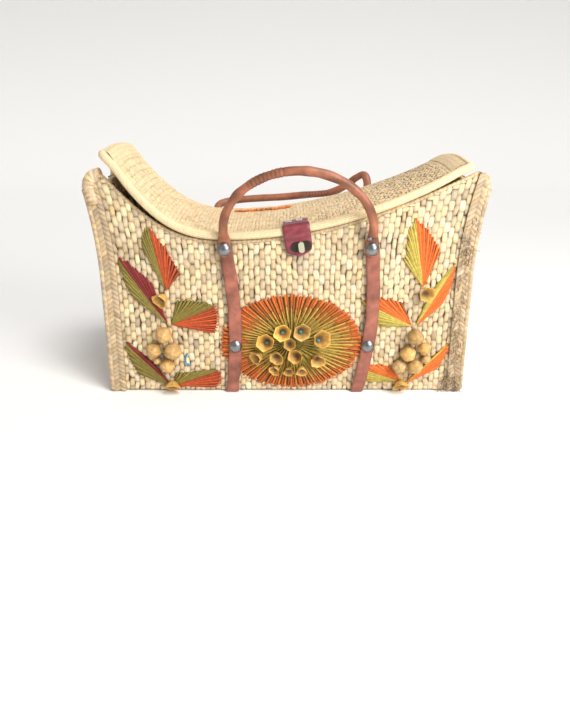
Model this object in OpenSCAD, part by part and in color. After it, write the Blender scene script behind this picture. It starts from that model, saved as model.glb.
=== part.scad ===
/* [Body] */
// Length of the base along X
base_len = 472; // [440:1:510]
// Length at the waist, the narrowest height
waist_len = 458; // [440:1:490]
// Length across the raised ears of the rim
ear_len = 500; // [470:1:530]
// Depth of the base along Y
base_depth = 180; // [150:1:210]
// Height of the rim where it sags lowest
rim_mid_z = 205; // [190:1:220]
// Where the rim sags lowest, as a share of half the length
rim_low = -0.33; // [-0.4:0.01:-0.2]
// Height of the rim at its ears
ear_z = 283; // [265:1:300]
// Height of the waist
waist_z = 160; // [130:1:180]
// How far the front and back swell outwards
belly = 6; // [2:0.5:10]
// How far the walls lean in from the base to ear height
lean_in = 18; // [10:1:26]
// How much further the ears pinch together
ear_pinch = 17; // [8:1:24]
// Thickness of the woven mat
mat = 5; // [4:0.5:7]
// How far the top of each end gusset dips in the middle
gusset_dip = 26; // [15:1:40]

/* [Weave] */
// Width of a palm strand in the walls
strand_w = 14; // [12:0.5:20]
// Length of a strand between two crossings in the walls
strand_len = 15; // [13:0.5:22]
// Width of a strand in the lid
lid_strand_w = 12; // [11:0.5:16]
// Height of a strand's ridge
ridge = 1.2; // [0.6:0.1:1.8]
// Play between pieces that are sewn or riveted together
seam_gap = 0.3; // [0.2:0.05:0.5]
// Running clearance round the hinge cord and the lock's shaft
run_gap = 0.1; // [0.05:0.01:0.15]

/* [Corner bindings] */
// Width of the braid on each side of a corner
braid_w = 16; // [14:1:20]
// Thickness of the braid
braid_t = 4; // [3:0.5:6]
// Height of the braid's ribs
braid_rib = 0.9; // [0.4:0.1:1.4]
// Length of one rib along the corner
braid_pitch = 11; // [9:0.5:18]

/* [Lid] */
// Thickness of the lid's mat
lid_t = 9; // [7:0.5:11]
// Share of the rim's length that the lid spans
lid_share = 0.87; // [0.82:0.01:0.88]
// Crown of the lid from front to back
lid_crown = 4; // [0:0.5:8]
// How far the left end of the lid has lifted
lid_lift_left = 26; // [10:1:30]
// How far the right end of the lid has lifted
lid_lift_right = 6; // [4:1:20]
// Gap between the lid and the rim
lid_gap = 1; // [0.8:0.1:2]
// Radius of the rolled edge
roll_r = 5; // [4:0.1:5.5]
// Radius of the hinge cord
cord_r = 3; // [2:0.1:4]
// Length of the hinge cord
cord_len = 124; // [100:1:140]
// Radius of the straw that the hinge loops are made of
loop_r = 1.3; // [1:0.1:1.6]
// Distance between hinge loops
loop_pitch = 45; // [30:1:50]

/* [Leather] */
// Width of a strap
strap_w = 17; // [13:1:20]
// Thickness of the strap leather
strap_t = 3; // [2:0.1:4]
// Sideways bow of the front straps
strap_bow = 9; // [0:1:10]
// Thickness of a rolled handle
handle_d = 11; // [9:0.5:13]
// Distance between the feet of the front handle
handle_span = 180; // [170:1:190]
// Rise of the front handle's arch above its bend
handle_rise = 70; // [60:1:85]
// How far the front handle's arch leans forward
handle_lean = 8; // [4:1:14]
// Middle of the front handle along X
handle_x = 14; // [6:1:22]
// Middle of the back handle along X
back_handle_x = 8; // [2:1:14]
// Distance between the feet of the back handle
back_span = 208; // [200:1:216]
// How far a handle's flat foot reaches above its rivet
foot_up = 17; // [15:1:19]
// How far it reaches below its rivet, as does the top of the strap above it
foot_low = 9; // [8:0.5:9.5]
// Width of a handle's flat foot
foot_w = 16; // [14:1:20]

/* [Rivets] */
// Radius of a strap rivet's head
rivet_r = 8.5; // [7:0.25:9]
// Radius of a rivet's shank
shank_r = 2; // [1.5:0.1:2.5]
// Height of the front handle's rivets
rivet_z = 196; // [188:1:198]
// Height of the lower rivets
low_rivet_z = 70; // [50:1:90]
// Height of the back handle's rivets
back_rivet_z = 163; // [155:1:170]
// Radius of the small extra rivet
small_rivet_r = 3.6; // [2.5:0.1:3.8]

/* [Closure] */
// Middle of the tab along X
tab_x = 12; // [4:1:20]
// Width of the leather tab
tab_w = 33; // [28:1:38]
// Thickness of the tab leather
tab_t = 2.4; // [1.8:0.1:3]
// Length of tab that lies on the lid
tab_back = 17; // [14:1:20]
// Height of the tab's lower end
tab_foot_z = 188; // [184:1:190]
// Height of the lock's turning axis
lock_z = 200; // [199:0.25:200.5]
// Length of the oval lock plate
plate_len = 25; // [21:0.5:28]
// Width of the oval lock plate
plate_w = 12; // [10:0.5:13]
// Radius of the turn knob's shaft
knob_shaft_r = 2.4; // [1.8:0.1:2.6]
// Length of the turn knob's grip
knob_len = 13; // [10:0.5:14]
// Thickness of the turn knob's grip
knob_w = 7; // [5.5:0.5:8]
// Height of the turn knob's grip above its plate
knob_h = 7; // [5:0.5:9]

/* [Raffia] */
// Thickness of a raffia stitch
raffia_t = 1.8; // [1.2:0.1:2.4]
// Threads in half a fan
fan_threads = 7; // [5:1:8]
// Middle of the sunburst along X
sun_x = 6; // [0:1:12]
// Height of the sunburst's middle
sun_z = 73; // [71:1:80]
// Half length of the sunburst
sun_a = 92; // [80:1:98]
// Half height of the sunburst
sun_b = 66; // [56:1:68]
// Share of the sunburst that is olive
sun_core = 0.72; // [0.6:0.01:0.8]
// Threads in the sunburst
sun_threads = 32; // [24:1:34]
// Radius of the beads in the open pods
bead_r = 2.6; // [2:0.1:3]

/* [Hidden] */

straw = "khaki";
braid_straw = "tan";
leather = "rosybrown";
silver = "silver";
olive = "darkkhaki";
orange = "darkorange";
pod_tan = "peru";

// Inner grid rows per sheet, so that the plain side of a mat has few faces
inner_rows = 5;
// Sides of swept round pieces
tube_sides = 10;
roll_sides = 8;

// The bag's surfaces: outlines of the rim, the ends and the front at any height
function half_len(z) = waist_len / 2 + (z < waist_z
    ? (base_len - waist_len) / 2 * pow((waist_z - z) / waist_z, 2)
    : (ear_len - waist_len) / 2 * pow((z - waist_z) / (ear_z - waist_z), 2));
// The rim rises from its low point to the flat tops of the ears, more suddenly on the left
left_rise = [0.87, 2.6];
right_rise = [0.95, 2];
function rise(e, to) = pow(min(1, e / to[0]), to[1]);
function rim_z(s) = rim_mid_z + (ear_z - rim_mid_z) * (s < rim_low
    ? rise((rim_low - s) / (1 + rim_low), left_rise)
    : rise((s - rim_low) / (1 - rim_low), right_rise));
function rim_x(s) = s * half_len(rim_z(s));
function half_depth(x, z) = base_depth / 2 + belly * sin(180 * z / ear_z)
    - (lean_in + ear_pinch * pow(2 * x / ear_len, 2)) * pow(z / ear_z, 2);
function front_point(x, z, out) = [x, -half_depth(x, z) - out, z];

// Layers on the front, counted outwards from the mat: ridges, raffia, leather
stitch_gap = 0.8;
raffia_seat = ridge + stitch_gap;
raffia_top = raffia_seat + raffia_t;
strap_seat = raffia_top + seam_gap;
foot_seat = strap_seat + strap_t + seam_gap;
foot_out = foot_seat + strap_t;
strap_top_z = rivet_z + foot_low;
back_strap_top_z = back_rivet_z + foot_low;
foot_top_z = rivet_z + foot_up;
back_foot_top_z = back_rivet_z + foot_up;

// Places a piece on the front so that its own +Z points out of the wall
module on_front(x, z, out) {
    slope_z = half_depth(x, z + 0.5) - half_depth(x, z - 0.5);
    slope_x = half_depth(x + 0.5, z) - half_depth(x - 0.5, z);
    translate(front_point(x, z, 0))
        rotate([90 + atan(slope_z), 0, -atan(slope_x)])
            translate([0, 0, out])
                children();
}

// A closed sheet: a fine outer grid, an inner grid with as many columns and fewer rows, and the edges
module sheet(outer, inner) {
    m = len(outer) - 1;
    n = len(outer[0]) - 1;
    k = len(inner) - 1;
    q = m / k;
    h = floor(q / 2);
    first_inner = (m + 1) * (n + 1);
    function o(r, c) = r * (n + 1) + c;
    function i(r, c) = first_inner + r * (n + 1) + c;
    function near(j, r) = r < q * j + h ? j : j + 1;
    polyhedron(
        points = [for (row = concat(outer, inner)) each row],
        faces = concat(
            [for (r = [0:m - 1], c = [0:n - 1]) each
                [[o(r, c), o(r + 1, c), o(r + 1, c + 1)], [o(r, c), o(r + 1, c + 1), o(r, c + 1)]]],
            [for (r = [0:k - 1], c = [0:n - 1]) each
                [[i(r, c), i(r + 1, c + 1), i(r + 1, c)], [i(r, c), i(r, c + 1), i(r + 1, c + 1)]]],
            [for (c = [0:n - 1]) each
                [[o(0, c), o(0, c + 1), i(0, c + 1)], [o(0, c), i(0, c + 1), i(0, c)],
                 [o(m, c + 1), o(m, c), i(k, c)], [o(m, c + 1), i(k, c), i(k, c + 1)]]],
            [for (j = [0:k - 1], r = [q * j:q * j + q - 1]) each
                [[o(r + 1, 0), o(r, 0), i(near(j, r), 0)], [o(r, n), o(r + 1, n), i(near(j, r), n)]]],
            [for (j = [0:k - 1]) each
                [[o(q * j + h, 0), i(j, 0), i(j + 1, 0)], [o(q * j + h, n), i(j + 1, n), i(j, n)]]]));
}

// A closed solid through rings of points, each ring counter-clockwise about the way of travel; a ring that
// isn't convex gives the faces of its cap
module loft(rings, cap = undef) {
    n = len(rings[0]);
    cap_faces = is_undef(cap) ? [[for (j = [0:n - 1]) j]] : cap;
    last = (len(rings) - 1) * n;
    polyhedron(
        points = [for (ring = rings) each ring],
        faces = concat(
            cap_faces,
            [for (f = cap_faces) [for (j = [len(f) - 1:-1:0]) last + f[j]]],
            [for (a0 = [0:n:last - n], j = [0:n - 1]) each
                let (a = a0 + j, b = a0 + (j + 1) % n) [[a, a + n, b + n], [a, b + n, b]]]));
}

// Rings of a round tube along a path; the path never runs along ref, and scales gives each ring's size
function unit(v) = v / norm(v);
function tangent(path, i) = unit(path[min(i + 1, len(path) - 1)] - path[max(i - 1, 0)]);
function tube_rings(path, r, sides, ref, scales) = [for (i = [0:len(path) - 1])
    let (t = tangent(path, i), side = unit(cross(t, ref)), up = cross(t, side))
        [for (j = [0:sides - 1]) path[i]
            + r * scales[i] * (side * cos(360 * j / sides) + up * sin(360 * j / sides))]];

// Whether a strand lies on top at a crossing; edges stay low
function over(r, c, rows, cols) =
    r > 0 && c > 0 && r < rows && c < cols && (r + c) % 2 == 0 ? ridge : 0;
function even(n) = 2 * round(n / 2);

// Woven walls
wall_cols = even(base_len / strand_w);
wall_rows = inner_rows * round(rim_mid_z / strand_len / inner_rows);
function wall_point(s, v, out) = let (z = v * rim_z(s), x = s * half_len(z)) front_point(x, z, out);
module wall_sheet() {
    sheet(
        [for (r = [0:wall_rows]) [for (c = [0:wall_cols])
            wall_point(2 * c / wall_cols - 1, r / wall_rows, over(r, c, wall_rows, wall_cols))]],
        [for (r = [0:inner_rows]) [for (c = [0:wall_cols])
            wall_point(2 * c / wall_cols - 1, r / inner_rows, -mat)]]);
}

module front_panel() {
    color(straw) difference() {
        wall_sheet();
        rivet_holes(front_rivet_places, -2 * mat);
    }
}

module back_panel() {
    color(straw) difference() {
        mirror([0, 1, 0]) difference() {
            wall_sheet();
            rivet_holes(back_rivet_places, -2 * mat);
        }
        hinge_axis(0) cylinder(r = cord_r + run_gap, h = cord_len + 4 * seam_gap, center = true, $fn = 48);
    }
}

module base_panel() {
    color(straw) linear_extrude(mat)
        square([2 * (half_len(mat) - mat - seam_gap), base_depth - 2 * (mat + seam_gap)], center = true);
}

gusset_cols = even(base_depth / strand_w);
gusset_gap = 3 * seam_gap;
function gusset_top(t) = ear_z - gusset_dip * (1 - t * t);
function gusset_point(t, v, out) = let (z = v * gusset_top(t), x = half_len(z))
    [x + out, t * (half_depth(x, z) - mat - gusset_gap), z];
module gusset_sheet() {
    sheet(
        [for (r = [0:wall_rows]) [for (c = [0:gusset_cols])
            gusset_point(2 * c / gusset_cols - 1, r / wall_rows, over(r, c, wall_rows, gusset_cols))]],
        [for (r = [0:inner_rows]) [for (c = [0:gusset_cols])
            gusset_point(2 * c / gusset_cols - 1, r / inner_rows, -mat)]]);
}

module right_gusset() { color(straw) gusset_sheet(); }

module left_gusset() { color(straw) mirror([1, 0, 0]) gusset_sheet(); }

// Braided strip folded over a corner seam; the ribs of its two faces alternate
binding_rings = even(ear_z / braid_pitch);
binding_seat = ridge + 1.5 * seam_gap;
binding_foot = 0.004;
function binding_top(w) = rim_z(1 - 2 * max(w, 0) / ear_len);
function corner_point(v, dx, dy) = let (z = v * binding_top(-dx), x = half_len(z)) front_point(x + dx, z, dy);
function side_point(v, dx, w) = let (z = v * binding_top(w), x = half_len(z))
    [x + dx, w - half_depth(x, z), z];
function binding_ring(i) = let (
        v = binding_foot + (1 - binding_foot) * i / binding_rings,
        face = binding_seat + braid_t + braid_rib * (i % 2),
        fold = binding_seat + braid_t + braid_rib * ((i + 1) % 2),
        shoulder = binding_seat + braid_t / 2) [
    corner_point(v, -braid_w, binding_seat),
    corner_point(v, -braid_w, face - braid_rib),
    corner_point(v, -braid_w / 2, face),
    corner_point(v, shoulder, fold),
    side_point(v, fold, -shoulder),
    side_point(v, face, braid_w / 2),
    side_point(v, face - braid_rib, braid_w),
    side_point(v, binding_seat, braid_w),
    corner_point(v, binding_seat, binding_seat)
];
binding_cap = [[0, 1, 8], [1, 2, 8], [2, 3, 8], [3, 4, 8], [4, 5, 8], [5, 6, 8], [6, 7, 8]];
module binding() { color(braid_straw) loft([for (i = [0:binding_rings]) binding_ring(i)], binding_cap); }

module front_right_binding() { binding(); }

module front_left_binding() { mirror([1, 0, 0]) binding(); }

module back_right_binding() { mirror([0, 1, 0]) binding(); }

module back_left_binding() { mirror([1, 0, 0]) mirror([0, 1, 0]) binding(); }

// Lid: a saddle that follows the rim, hinged on a cord along the low middle of the back rim
lid_cols = even(lid_share * waist_len / lid_strand_w);
lid_rows = inner_rows * round(base_depth / lid_strand_w / inner_rows);
lid_curl = 6;
hinge_x = -60;
hinge_y = half_depth(hinge_x, rim_mid_z) - mat / 2;
hinge_z = rim_mid_z + cord_r + seam_gap;
hinge_gap = mat / 2 + cord_r + seam_gap;
function lid_lift(s) = (s < 0 ? lid_lift_left : lid_lift_right) * pow(s / lid_share, lid_curl);
function lid_floor(s) = rim_z(s) + lid_gap + lid_lift(s);
function lid_edge(s) = half_depth(rim_x(s), rim_z(s));
function lid_front(s) = mat - lid_edge(s);
function lid_back(s) = lid_edge(s) - hinge_gap;
function lid_point(s, t, up) = [
    rim_x(s),
    lid_front(s) * (1 - t) + lid_back(s) * t,
    lid_floor(s) + up + lid_crown * sin(180 * t)
];
module lid_panel() {
    color(straw) difference() {
        sheet(
            [for (r = [0:lid_rows]) [for (c = [0:lid_cols])
                lid_point(lid_share * (2 * c / lid_cols - 1), r / lid_rows,
                    lid_t + over(r, c, lid_rows, lid_cols))]],
            [for (r = [0:inner_rows]) [for (c = [0:lid_cols])
                lid_point(lid_share * (2 * c / lid_cols - 1), r / inner_rows, 0)]]);
        for (x = loop_places)
            hinge_axis(x) cylinder(r = loop_out + seam_gap, h = 4 * loop_r, center = true);
    }
}

// Rolled edge round the front and both ends of the lid
roll_step = 0.05;
roll_swell = 0.06;
roll_out = roll_r * (1 + roll_swell) + seam_gap;
end_steps = 6;
roll_lift = roll_r + seam_gap;
function roll_end(side, t) = lid_point(side * lid_share, t, roll_lift) + [side * roll_out, 0, 0];
function roll_front(s) = lid_point(s, 0, roll_lift) - [0, roll_out, 0];
function roll_corner(side) = roll_end(side, 0) - [0, roll_out, 0];
roll_path = concat(
    [for (i = [end_steps:-1:1]) roll_end(-1, i / end_steps)],
    [roll_corner(-1)],
    [for (s = [roll_step / 2 - lid_share:roll_step:lid_share - roll_step / 4]) roll_front(s)],
    [roll_corner(1)],
    [for (i = [1:end_steps]) roll_end(1, i / end_steps)]);
module lid_binding() {
    color(braid_straw)
        loft(tube_rings(roll_path, roll_r, roll_sides, [0, 0, 1],
            [for (i = [0:len(roll_path) - 1]) 1 + roll_swell * (i % 2 == 0 ? 1 : -1)]));
}

// Row of orange raffia stitches across the middle of the lid
darn_from = -0.3;
darn_to = 0.02;
darn_w = 7;
darn_steps = 12;
darn_t = 0.7;
function darn_point(i, side, up) =
    lid_point(darn_from + (darn_to - darn_from) * i / darn_steps, darn_t, lid_t + raffia_seat + up)
        + [0, side * darn_w / 2, 0];
module lid_darn() {
    color(orange) loft([for (i = [0:darn_steps]) let (up = raffia_t * (0.6 + 0.4 * (i % 2)))
        [darn_point(i, 1, 0), darn_point(i, 1, up), darn_point(i, -1, up), darn_point(i, -1, 0)]]);
}

loop_ring_r = cord_r + run_gap + loop_r;
loop_out = loop_ring_r + loop_r;
loop_places = [-loop_pitch, 0, loop_pitch];
module hinge_axis(x) { translate([hinge_x + x, hinge_y, hinge_z]) rotate([0, 90, 0]) children(); }

module hinge_cord() {
    color(braid_straw) hinge_axis(0) cylinder(r = cord_r, h = cord_len, center = true, $fn = 48);
}

module hinge_loops() {
    color(straw) for (x = loop_places)
        hinge_axis(x) rotate_extrude($fn = 48) translate([loop_ring_r, 0]) circle(loop_r, $fn = 24);
}

// Straps: flat leather that follows the swell of the wall from the base to the handle
strap_foot_z = 1.5;
strap_steps = 12;
front_strap_x = [handle_x - handle_span / 2, handle_x + handle_span / 2];
back_strap_x = [back_handle_x - back_span / 2, back_handle_x + back_span / 2];
strap_foot_shift = [2, -8];
function strap_x(top_x, shift, bow, f) = top_x + shift * (1 - f) + bow * sin(180 * f);
function strap_ring(x, z, w, seat) = [
    front_point(x - w / 2, z, seat),
    front_point(x - w / 2, z, seat + 0.7 * strap_t),
    front_point(x - w / 4, z, seat + strap_t),
    front_point(x + w / 4, z, seat + strap_t),
    front_point(x + w / 2, z, seat + 0.7 * strap_t),
    front_point(x + w / 2, z, seat)
];
module strap(top_x, shift, bow, top_z, rivets) {
    color(leather) difference() {
        loft([for (i = [0:strap_steps]) let (f = i / strap_steps)
            strap_ring(strap_x(top_x, shift, bow, f), strap_foot_z + (top_z - strap_foot_z) * f,
                strap_w, strap_seat)]);
        rivet_holes(rivets, 0);
    }
}

module front_left_strap() {
    strap(front_strap_x[0], strap_foot_shift[0], strap_bow, strap_top_z, front_rivet_places);
}

module front_right_strap() {
    strap(front_strap_x[1], strap_foot_shift[1], strap_bow, strap_top_z, front_rivet_places);
}

module back_left_strap() {
    mirror([0, 1, 0]) strap(back_strap_x[0], 0, 0, back_strap_top_z, back_rivet_places);
}

module back_right_strap() {
    mirror([0, 1, 0]) strap(back_strap_x[1], 0, 0, back_strap_top_z, back_rivet_places);
}

// Rivets: a domed head outside, a shank through the layers and a flat burr inside
low_share = (low_rivet_z - strap_foot_z) / (strap_top_z - strap_foot_z);
front_rivet_places = concat(
    [for (i = [0, 1]) [front_strap_x[i], rivet_z, foot_out]],
    [for (i = [0, 1]) [strap_x(front_strap_x[i], strap_foot_shift[i], strap_bow, low_share),
        low_rivet_z, strap_seat + strap_t]]);
back_rivet_places = concat(
    [for (x = back_strap_x) [x, back_rivet_z, foot_out]],
    [for (x = back_strap_x) [x, low_rivet_z, strap_seat + strap_t]]);
head_h = 5;
drill_len = 60;
burr_t = 1.2;
module rivet(grip, r) {
    dome_r = (r * r + head_h * head_h) / (2 * head_h);
    inner = -mat - seam_gap - ridge;
    rotate_extrude($fn = 64) intersection() {
        union() {
            translate([0, grip + seam_gap + head_h - dome_r]) circle(dome_r, $fn = 96);
            translate([0, inner - burr_t]) square([shank_r, grip + seam_gap + head_h / 2 - inner + burr_t]);
            translate([0, inner - burr_t]) square([2 * shank_r, burr_t]);
        }
        union() {
            translate([0, grip + seam_gap]) square([r, head_h]);
            translate([0, inner - burr_t]) square([shank_r, grip + seam_gap + head_h / 2 - inner + burr_t]);
            translate([0, inner - burr_t]) square([2 * shank_r, burr_t]);
        }
    }
}
module rivet_holes(places, from) {
    for (p = places)
        on_front(p[0], p[1], from) cylinder(r = shank_r + seam_gap / 2, h = drill_len, $fn = 32);
}

module front_rivets() {
    color(silver) for (p = front_rivet_places) on_front(p[0], p[1], 0) rivet(p[2], rivet_r);
}

module back_rivets() {
    color(silver) mirror([0, 1, 0]) for (p = back_rivet_places) on_front(p[0], p[1], 0) rivet(p[2], rivet_r);
}

// Small rivet beside the right head, pressed into the foot's leather
small_rivet_at = [front_strap_x[1] - foot_w / 4, rivet_z + rivet_r + small_rivet_r + 2 * seam_gap];
module small_rivet() {
    color(silver) on_front(small_rivet_at[0], small_rivet_at[1], foot_out + seam_gap)
        rotate_extrude($fn = 48) intersection() {
            circle(small_rivet_r, $fn = 64);
            square(small_rivet_r);
        }
}

// Handle feet: the flat ends of the handles, riveted over the straps
function foot_ring(x, z) = strap_ring(x, z, foot_w, foot_seat);
module handle_feet(places, z) {
    color(leather) for (x = places)
        difference() {
            loft([for (h = [-foot_low, foot_up / 2, foot_up]) foot_ring(x, z + h)]);
            on_front(x, z, 0) cylinder(r = shank_r + seam_gap / 2, h = drill_len, $fn = 32);
        }
}
module front_handle_feet() { handle_feet(front_strap_x, rivet_z); }

module back_handle_feet() { mirror([0, 1, 0]) handle_feet(back_strap_x, back_rivet_z); }

// Rolled handles, rounded at the bend above each foot; the bend's axis runs along X
handle_r = handle_d / 2;
bend_gap = 0.3;
bend_out = 4.5;
bend_z = foot_top_z + handle_r + bend_gap;
bend_y = -half_depth(0, foot_top_z) - foot_seat - bend_out;
back_bend_z = back_foot_top_z + handle_r + bend_gap;
back_bend_y = half_depth(0, back_foot_top_z) + foot_seat + bend_out;
handle_steps = 26;
// Sizes of the rings that round off an end
cap_scales = [0.3, 0.75, 0.95];
cap_backs = [0.95, 0.66, 0.3];
function capped_path(path) = let (
        n = len(path) - 1, a = unit(path[0] - path[1]), b = unit(path[n] - path[n - 1]))
    concat([for (k = cap_backs) path[0] + a * k * handle_r], path,
        [for (i = [2:-1:0]) path[n] + b * cap_backs[i] * handle_r]);
module rolled_handle(path, ref) {
    color(leather) loft(tube_rings(capped_path(path), handle_r, tube_sides, ref,
        concat(cap_scales, [for (p = path) 1], [for (i = [2:-1:0]) cap_scales[i]])));
}
module front_handle() {
    rolled_handle([for (i = [0:handle_steps]) let (a = 180 * i / handle_steps)
        [handle_x - handle_span / 2 * cos(a), bend_y - handle_lean * sin(a), bend_z + handle_rise * sin(a)]],
        [0, 1, 0]);
}

// Route of the slack back handle, from its left bend to its right one, as [x, y, z] steps from those bends
back_route_left = [[0, 0, 0], [-0.5, 1.5, 4], [-4, 9, 11], [-12, 26, 20], [-6, 40, 26], [16, 50, 29],
    [50, 55, 31], [90, 56, 33]];
back_route_right = [[-84, 56, 36], [-44, 53, 40], [-18, 49, 51], [-4, 44, 63], [8, 38, 69], [13, 30, 58],
    [10, 22, 38], [4, 11, 18], [0.5, 1.5, 4], [0, 0, 0]];
back_points = concat(
    [for (p = back_route_left) p + [back_strap_x[0], back_bend_y, back_bend_z]],
    [for (p = back_route_right) p + [back_strap_x[1], back_bend_y, back_bend_z]]);
// A smooth curve through points, with steps places between each pair
function spline(p, steps) = let (n = len(p) - 1) concat(
    [for (i = [0:n - 1], k = [0:steps - 1]) let (
            t = k / steps, a = p[max(i - 1, 0)], b = p[i], c = p[i + 1], d = p[min(i + 2, n)])
        (2 * b + (c - a) * t + (2 * a - 5 * b + 4 * c - d) * t * t
            + (3 * b - a - 3 * c + d) * t * t * t) / 2],
    [p[n]]);
module back_handle() { rolled_handle(spline(back_points, 2), unit([0.1, 1, -0.9])); }

// Closure tab: a leather strip over the rolled edge, with a round lower end
roll_y = roll_front(0)[1];
roll_z = roll_front(tab_x / half_len(rim_mid_z))[2];
tab_r = roll_r * (1 + roll_swell) + 0.9;
tab_face_y = roll_y - tab_r - tab_t;
tab_share = tab_x / half_len(rim_mid_z);
tab_slope = roll_front(tab_share + roll_step) - roll_front(tab_share - roll_step);
tab_tilt = atan2(tab_slope[2], tab_slope[0]);
// Turns the tab, and what it carries, with the slope of the lid's edge
module on_tab() {
    translate([tab_x, 0, roll_z]) rotate([0, -tab_tilt, 0]) translate([-tab_x, 0, -roll_z]) children();
}
module tab_section() {
    difference() {
        union() {
            translate([roll_y, roll_z]) circle(tab_r + tab_t, $fn = 96);
            translate([roll_y, roll_z]) square([tab_back + roll_r, tab_r + tab_t]);
            translate([tab_face_y, tab_foot_z]) square([tab_t, roll_z - tab_foot_z]);
        }
        translate([roll_y, roll_z]) circle(tab_r, $fn = 96);
        translate([roll_y, roll_z - tab_r - tab_t]) square([tab_back + 2 * roll_r, 2 * tab_r + tab_t]);
        translate([roll_y - tab_r, roll_z - tab_r - 2 * tab_t]) square([2 * tab_r, tab_r + 2 * tab_t]);
    }
}
module tab_outline() {
    end_r = tab_w / 2;
    translate([tab_x, tab_foot_z + end_r]) intersection() {
        translate([0, 0.35 * end_r]) circle(1.35 * end_r, $fn = 96);
        translate([-end_r, -2 * end_r]) square([tab_w, 2 * end_r]);
    }
    translate([tab_x - end_r, tab_foot_z + end_r - 0.01]) square([tab_w, ear_z - tab_foot_z]);
}
module closure_tab() {
    color("brown") on_tab() difference() {
        intersection() {
            translate([tab_x - tab_w, 0, 0]) rotate([90, 0, 90]) linear_extrude(2 * tab_w) tab_section();
            rotate([90, 0, 0]) linear_extrude(base_depth) tab_outline();
        }
        lock_axis(-tab_t) cylinder(r = knob_shaft_r + run_gap, h = 4 * tab_t, center = true, $fn = 48);
    }
}

// Two silver staples that hold the tab to the lid
staple_spread = 13;
staple_len = 8;
staple_w = 3;
staple_t = 1.4;
staple_in = 5;
module tab_staples() {
    color(silver) on_tab() for (side = [-1, 1])
        translate([tab_x - 2 + side * staple_spread / 2, roll_y + tab_back - staple_in,
            roll_z + tab_r + tab_t + seam_gap / 3])
            stadium(staple_len, staple_w, staple_t);
}

// A flat plate with round ends, lying in XY
module stadium(len, w, t) {
    linear_extrude(t) {
        square([len - w, w], center = true);
        for (side = [-1, 1]) translate([side * (len - w) / 2, 0]) circle(w / 2, $fn = 64);
    }
}

// Turn lock: +Z of its axis points out of the tab
plate_t = 1.5;
lock_shift = 3;
module lock_axis(out) {
    translate([tab_x + lock_shift, tab_face_y - out, lock_z]) rotate([90, 0, 0]) children();
}
// Where the lock's axis is once the tab is turned
lock_drop = lock_z - roll_z;
lock_at = [tab_x + lock_shift * cos(tab_tilt) - lock_drop * sin(tab_tilt),
    roll_z + lock_shift * sin(tab_tilt) + lock_drop * cos(tab_tilt)];

module lock_plate() {
    color("darkgoldenrod") on_tab() lock_axis(seam_gap / 3) difference() {
        stadium(plate_len, plate_w, plate_t);
        cylinder(r = knob_shaft_r + run_gap, h = 4 * plate_t, center = true, $fn = 48);
    }
}

tongue_t = 1.2;
tongue_share = 3.2;
knob_neck = plate_t + 2 * seam_gap;
module lock_knob() {
    back = tab_t + seam_gap;
    color("palegoldenrod") on_tab() {
        lock_axis(knob_neck) rotate([0, 0, 90]) stadium(knob_len, knob_w, knob_h - knob_neck);
        lock_axis(-back - tongue_t / 2) cylinder(r = knob_shaft_r, h = knob_neck + back + tongue_t, $fn = 48);
        lock_axis(-back - tongue_t) rotate([0, 0, 90])
            stadium(tongue_share * knob_shaft_r, 2 * knob_shaft_r, tongue_t);
    }
}

keeper_len = plate_len - 4;
keeper_w = 8.6;
keeper_t = 1.2;
keeper_slot = 3.5 * knob_shaft_r - 2;
keeper_drop = 0.6;
module lock_keeper() {
    color("darkgoldenrod") on_front(lock_at[0], lock_at[1] - keeper_drop, ridge + seam_gap) difference() {
        stadium(keeper_len, keeper_w, keeper_t);
        translate([0, 0, -keeper_t]) rotate([0, 0, 90])
            stadium(keeper_slot, 2 * knob_shaft_r + 1, 3 * keeper_t);
    }
}

// Raffia fans: threads that spread from a base to an edge between two corners, as [x, z] on the front
fan_bulge = 0.12;
// Shares of a thread's length and height that lie between two threads
thread_short = 0.93;
thread_low = 0.55;
// Base, corner of the olive half, shared middle corner, corner of the orange half
left_crown = [[-152, 144], [-179, 198], [-169, 222], [-132, 166]];
left_wing = [[-154, 101], [-197, 137], [-210, 184], [-169, 152]];
left_fan = [[-149, 99], [-140, 132], [-90, 125], [-93, 86]];
left_low_wing = [[-157, 9], [-202, 27], [-212, 75], [-179, 44]];
left_low_fan = [[-155, 9], [-150, 27], [-90, 33], [-96, 5]];
right_crown = [[172, 148], [146, 180], [156, 233], [191, 193]];
right_wing = [[167, 97], [182, 140], [211, 177], [201, 128]];
right_fan = [[162, 97], [122, 96], [93, 133], [147, 130]];
right_low_wing = [[162, 13], [190, 45], [213, 72], [204, 36]];
right_low_fan = [[155, 16], [109, 14], [95, 38], [139, 39]];

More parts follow.
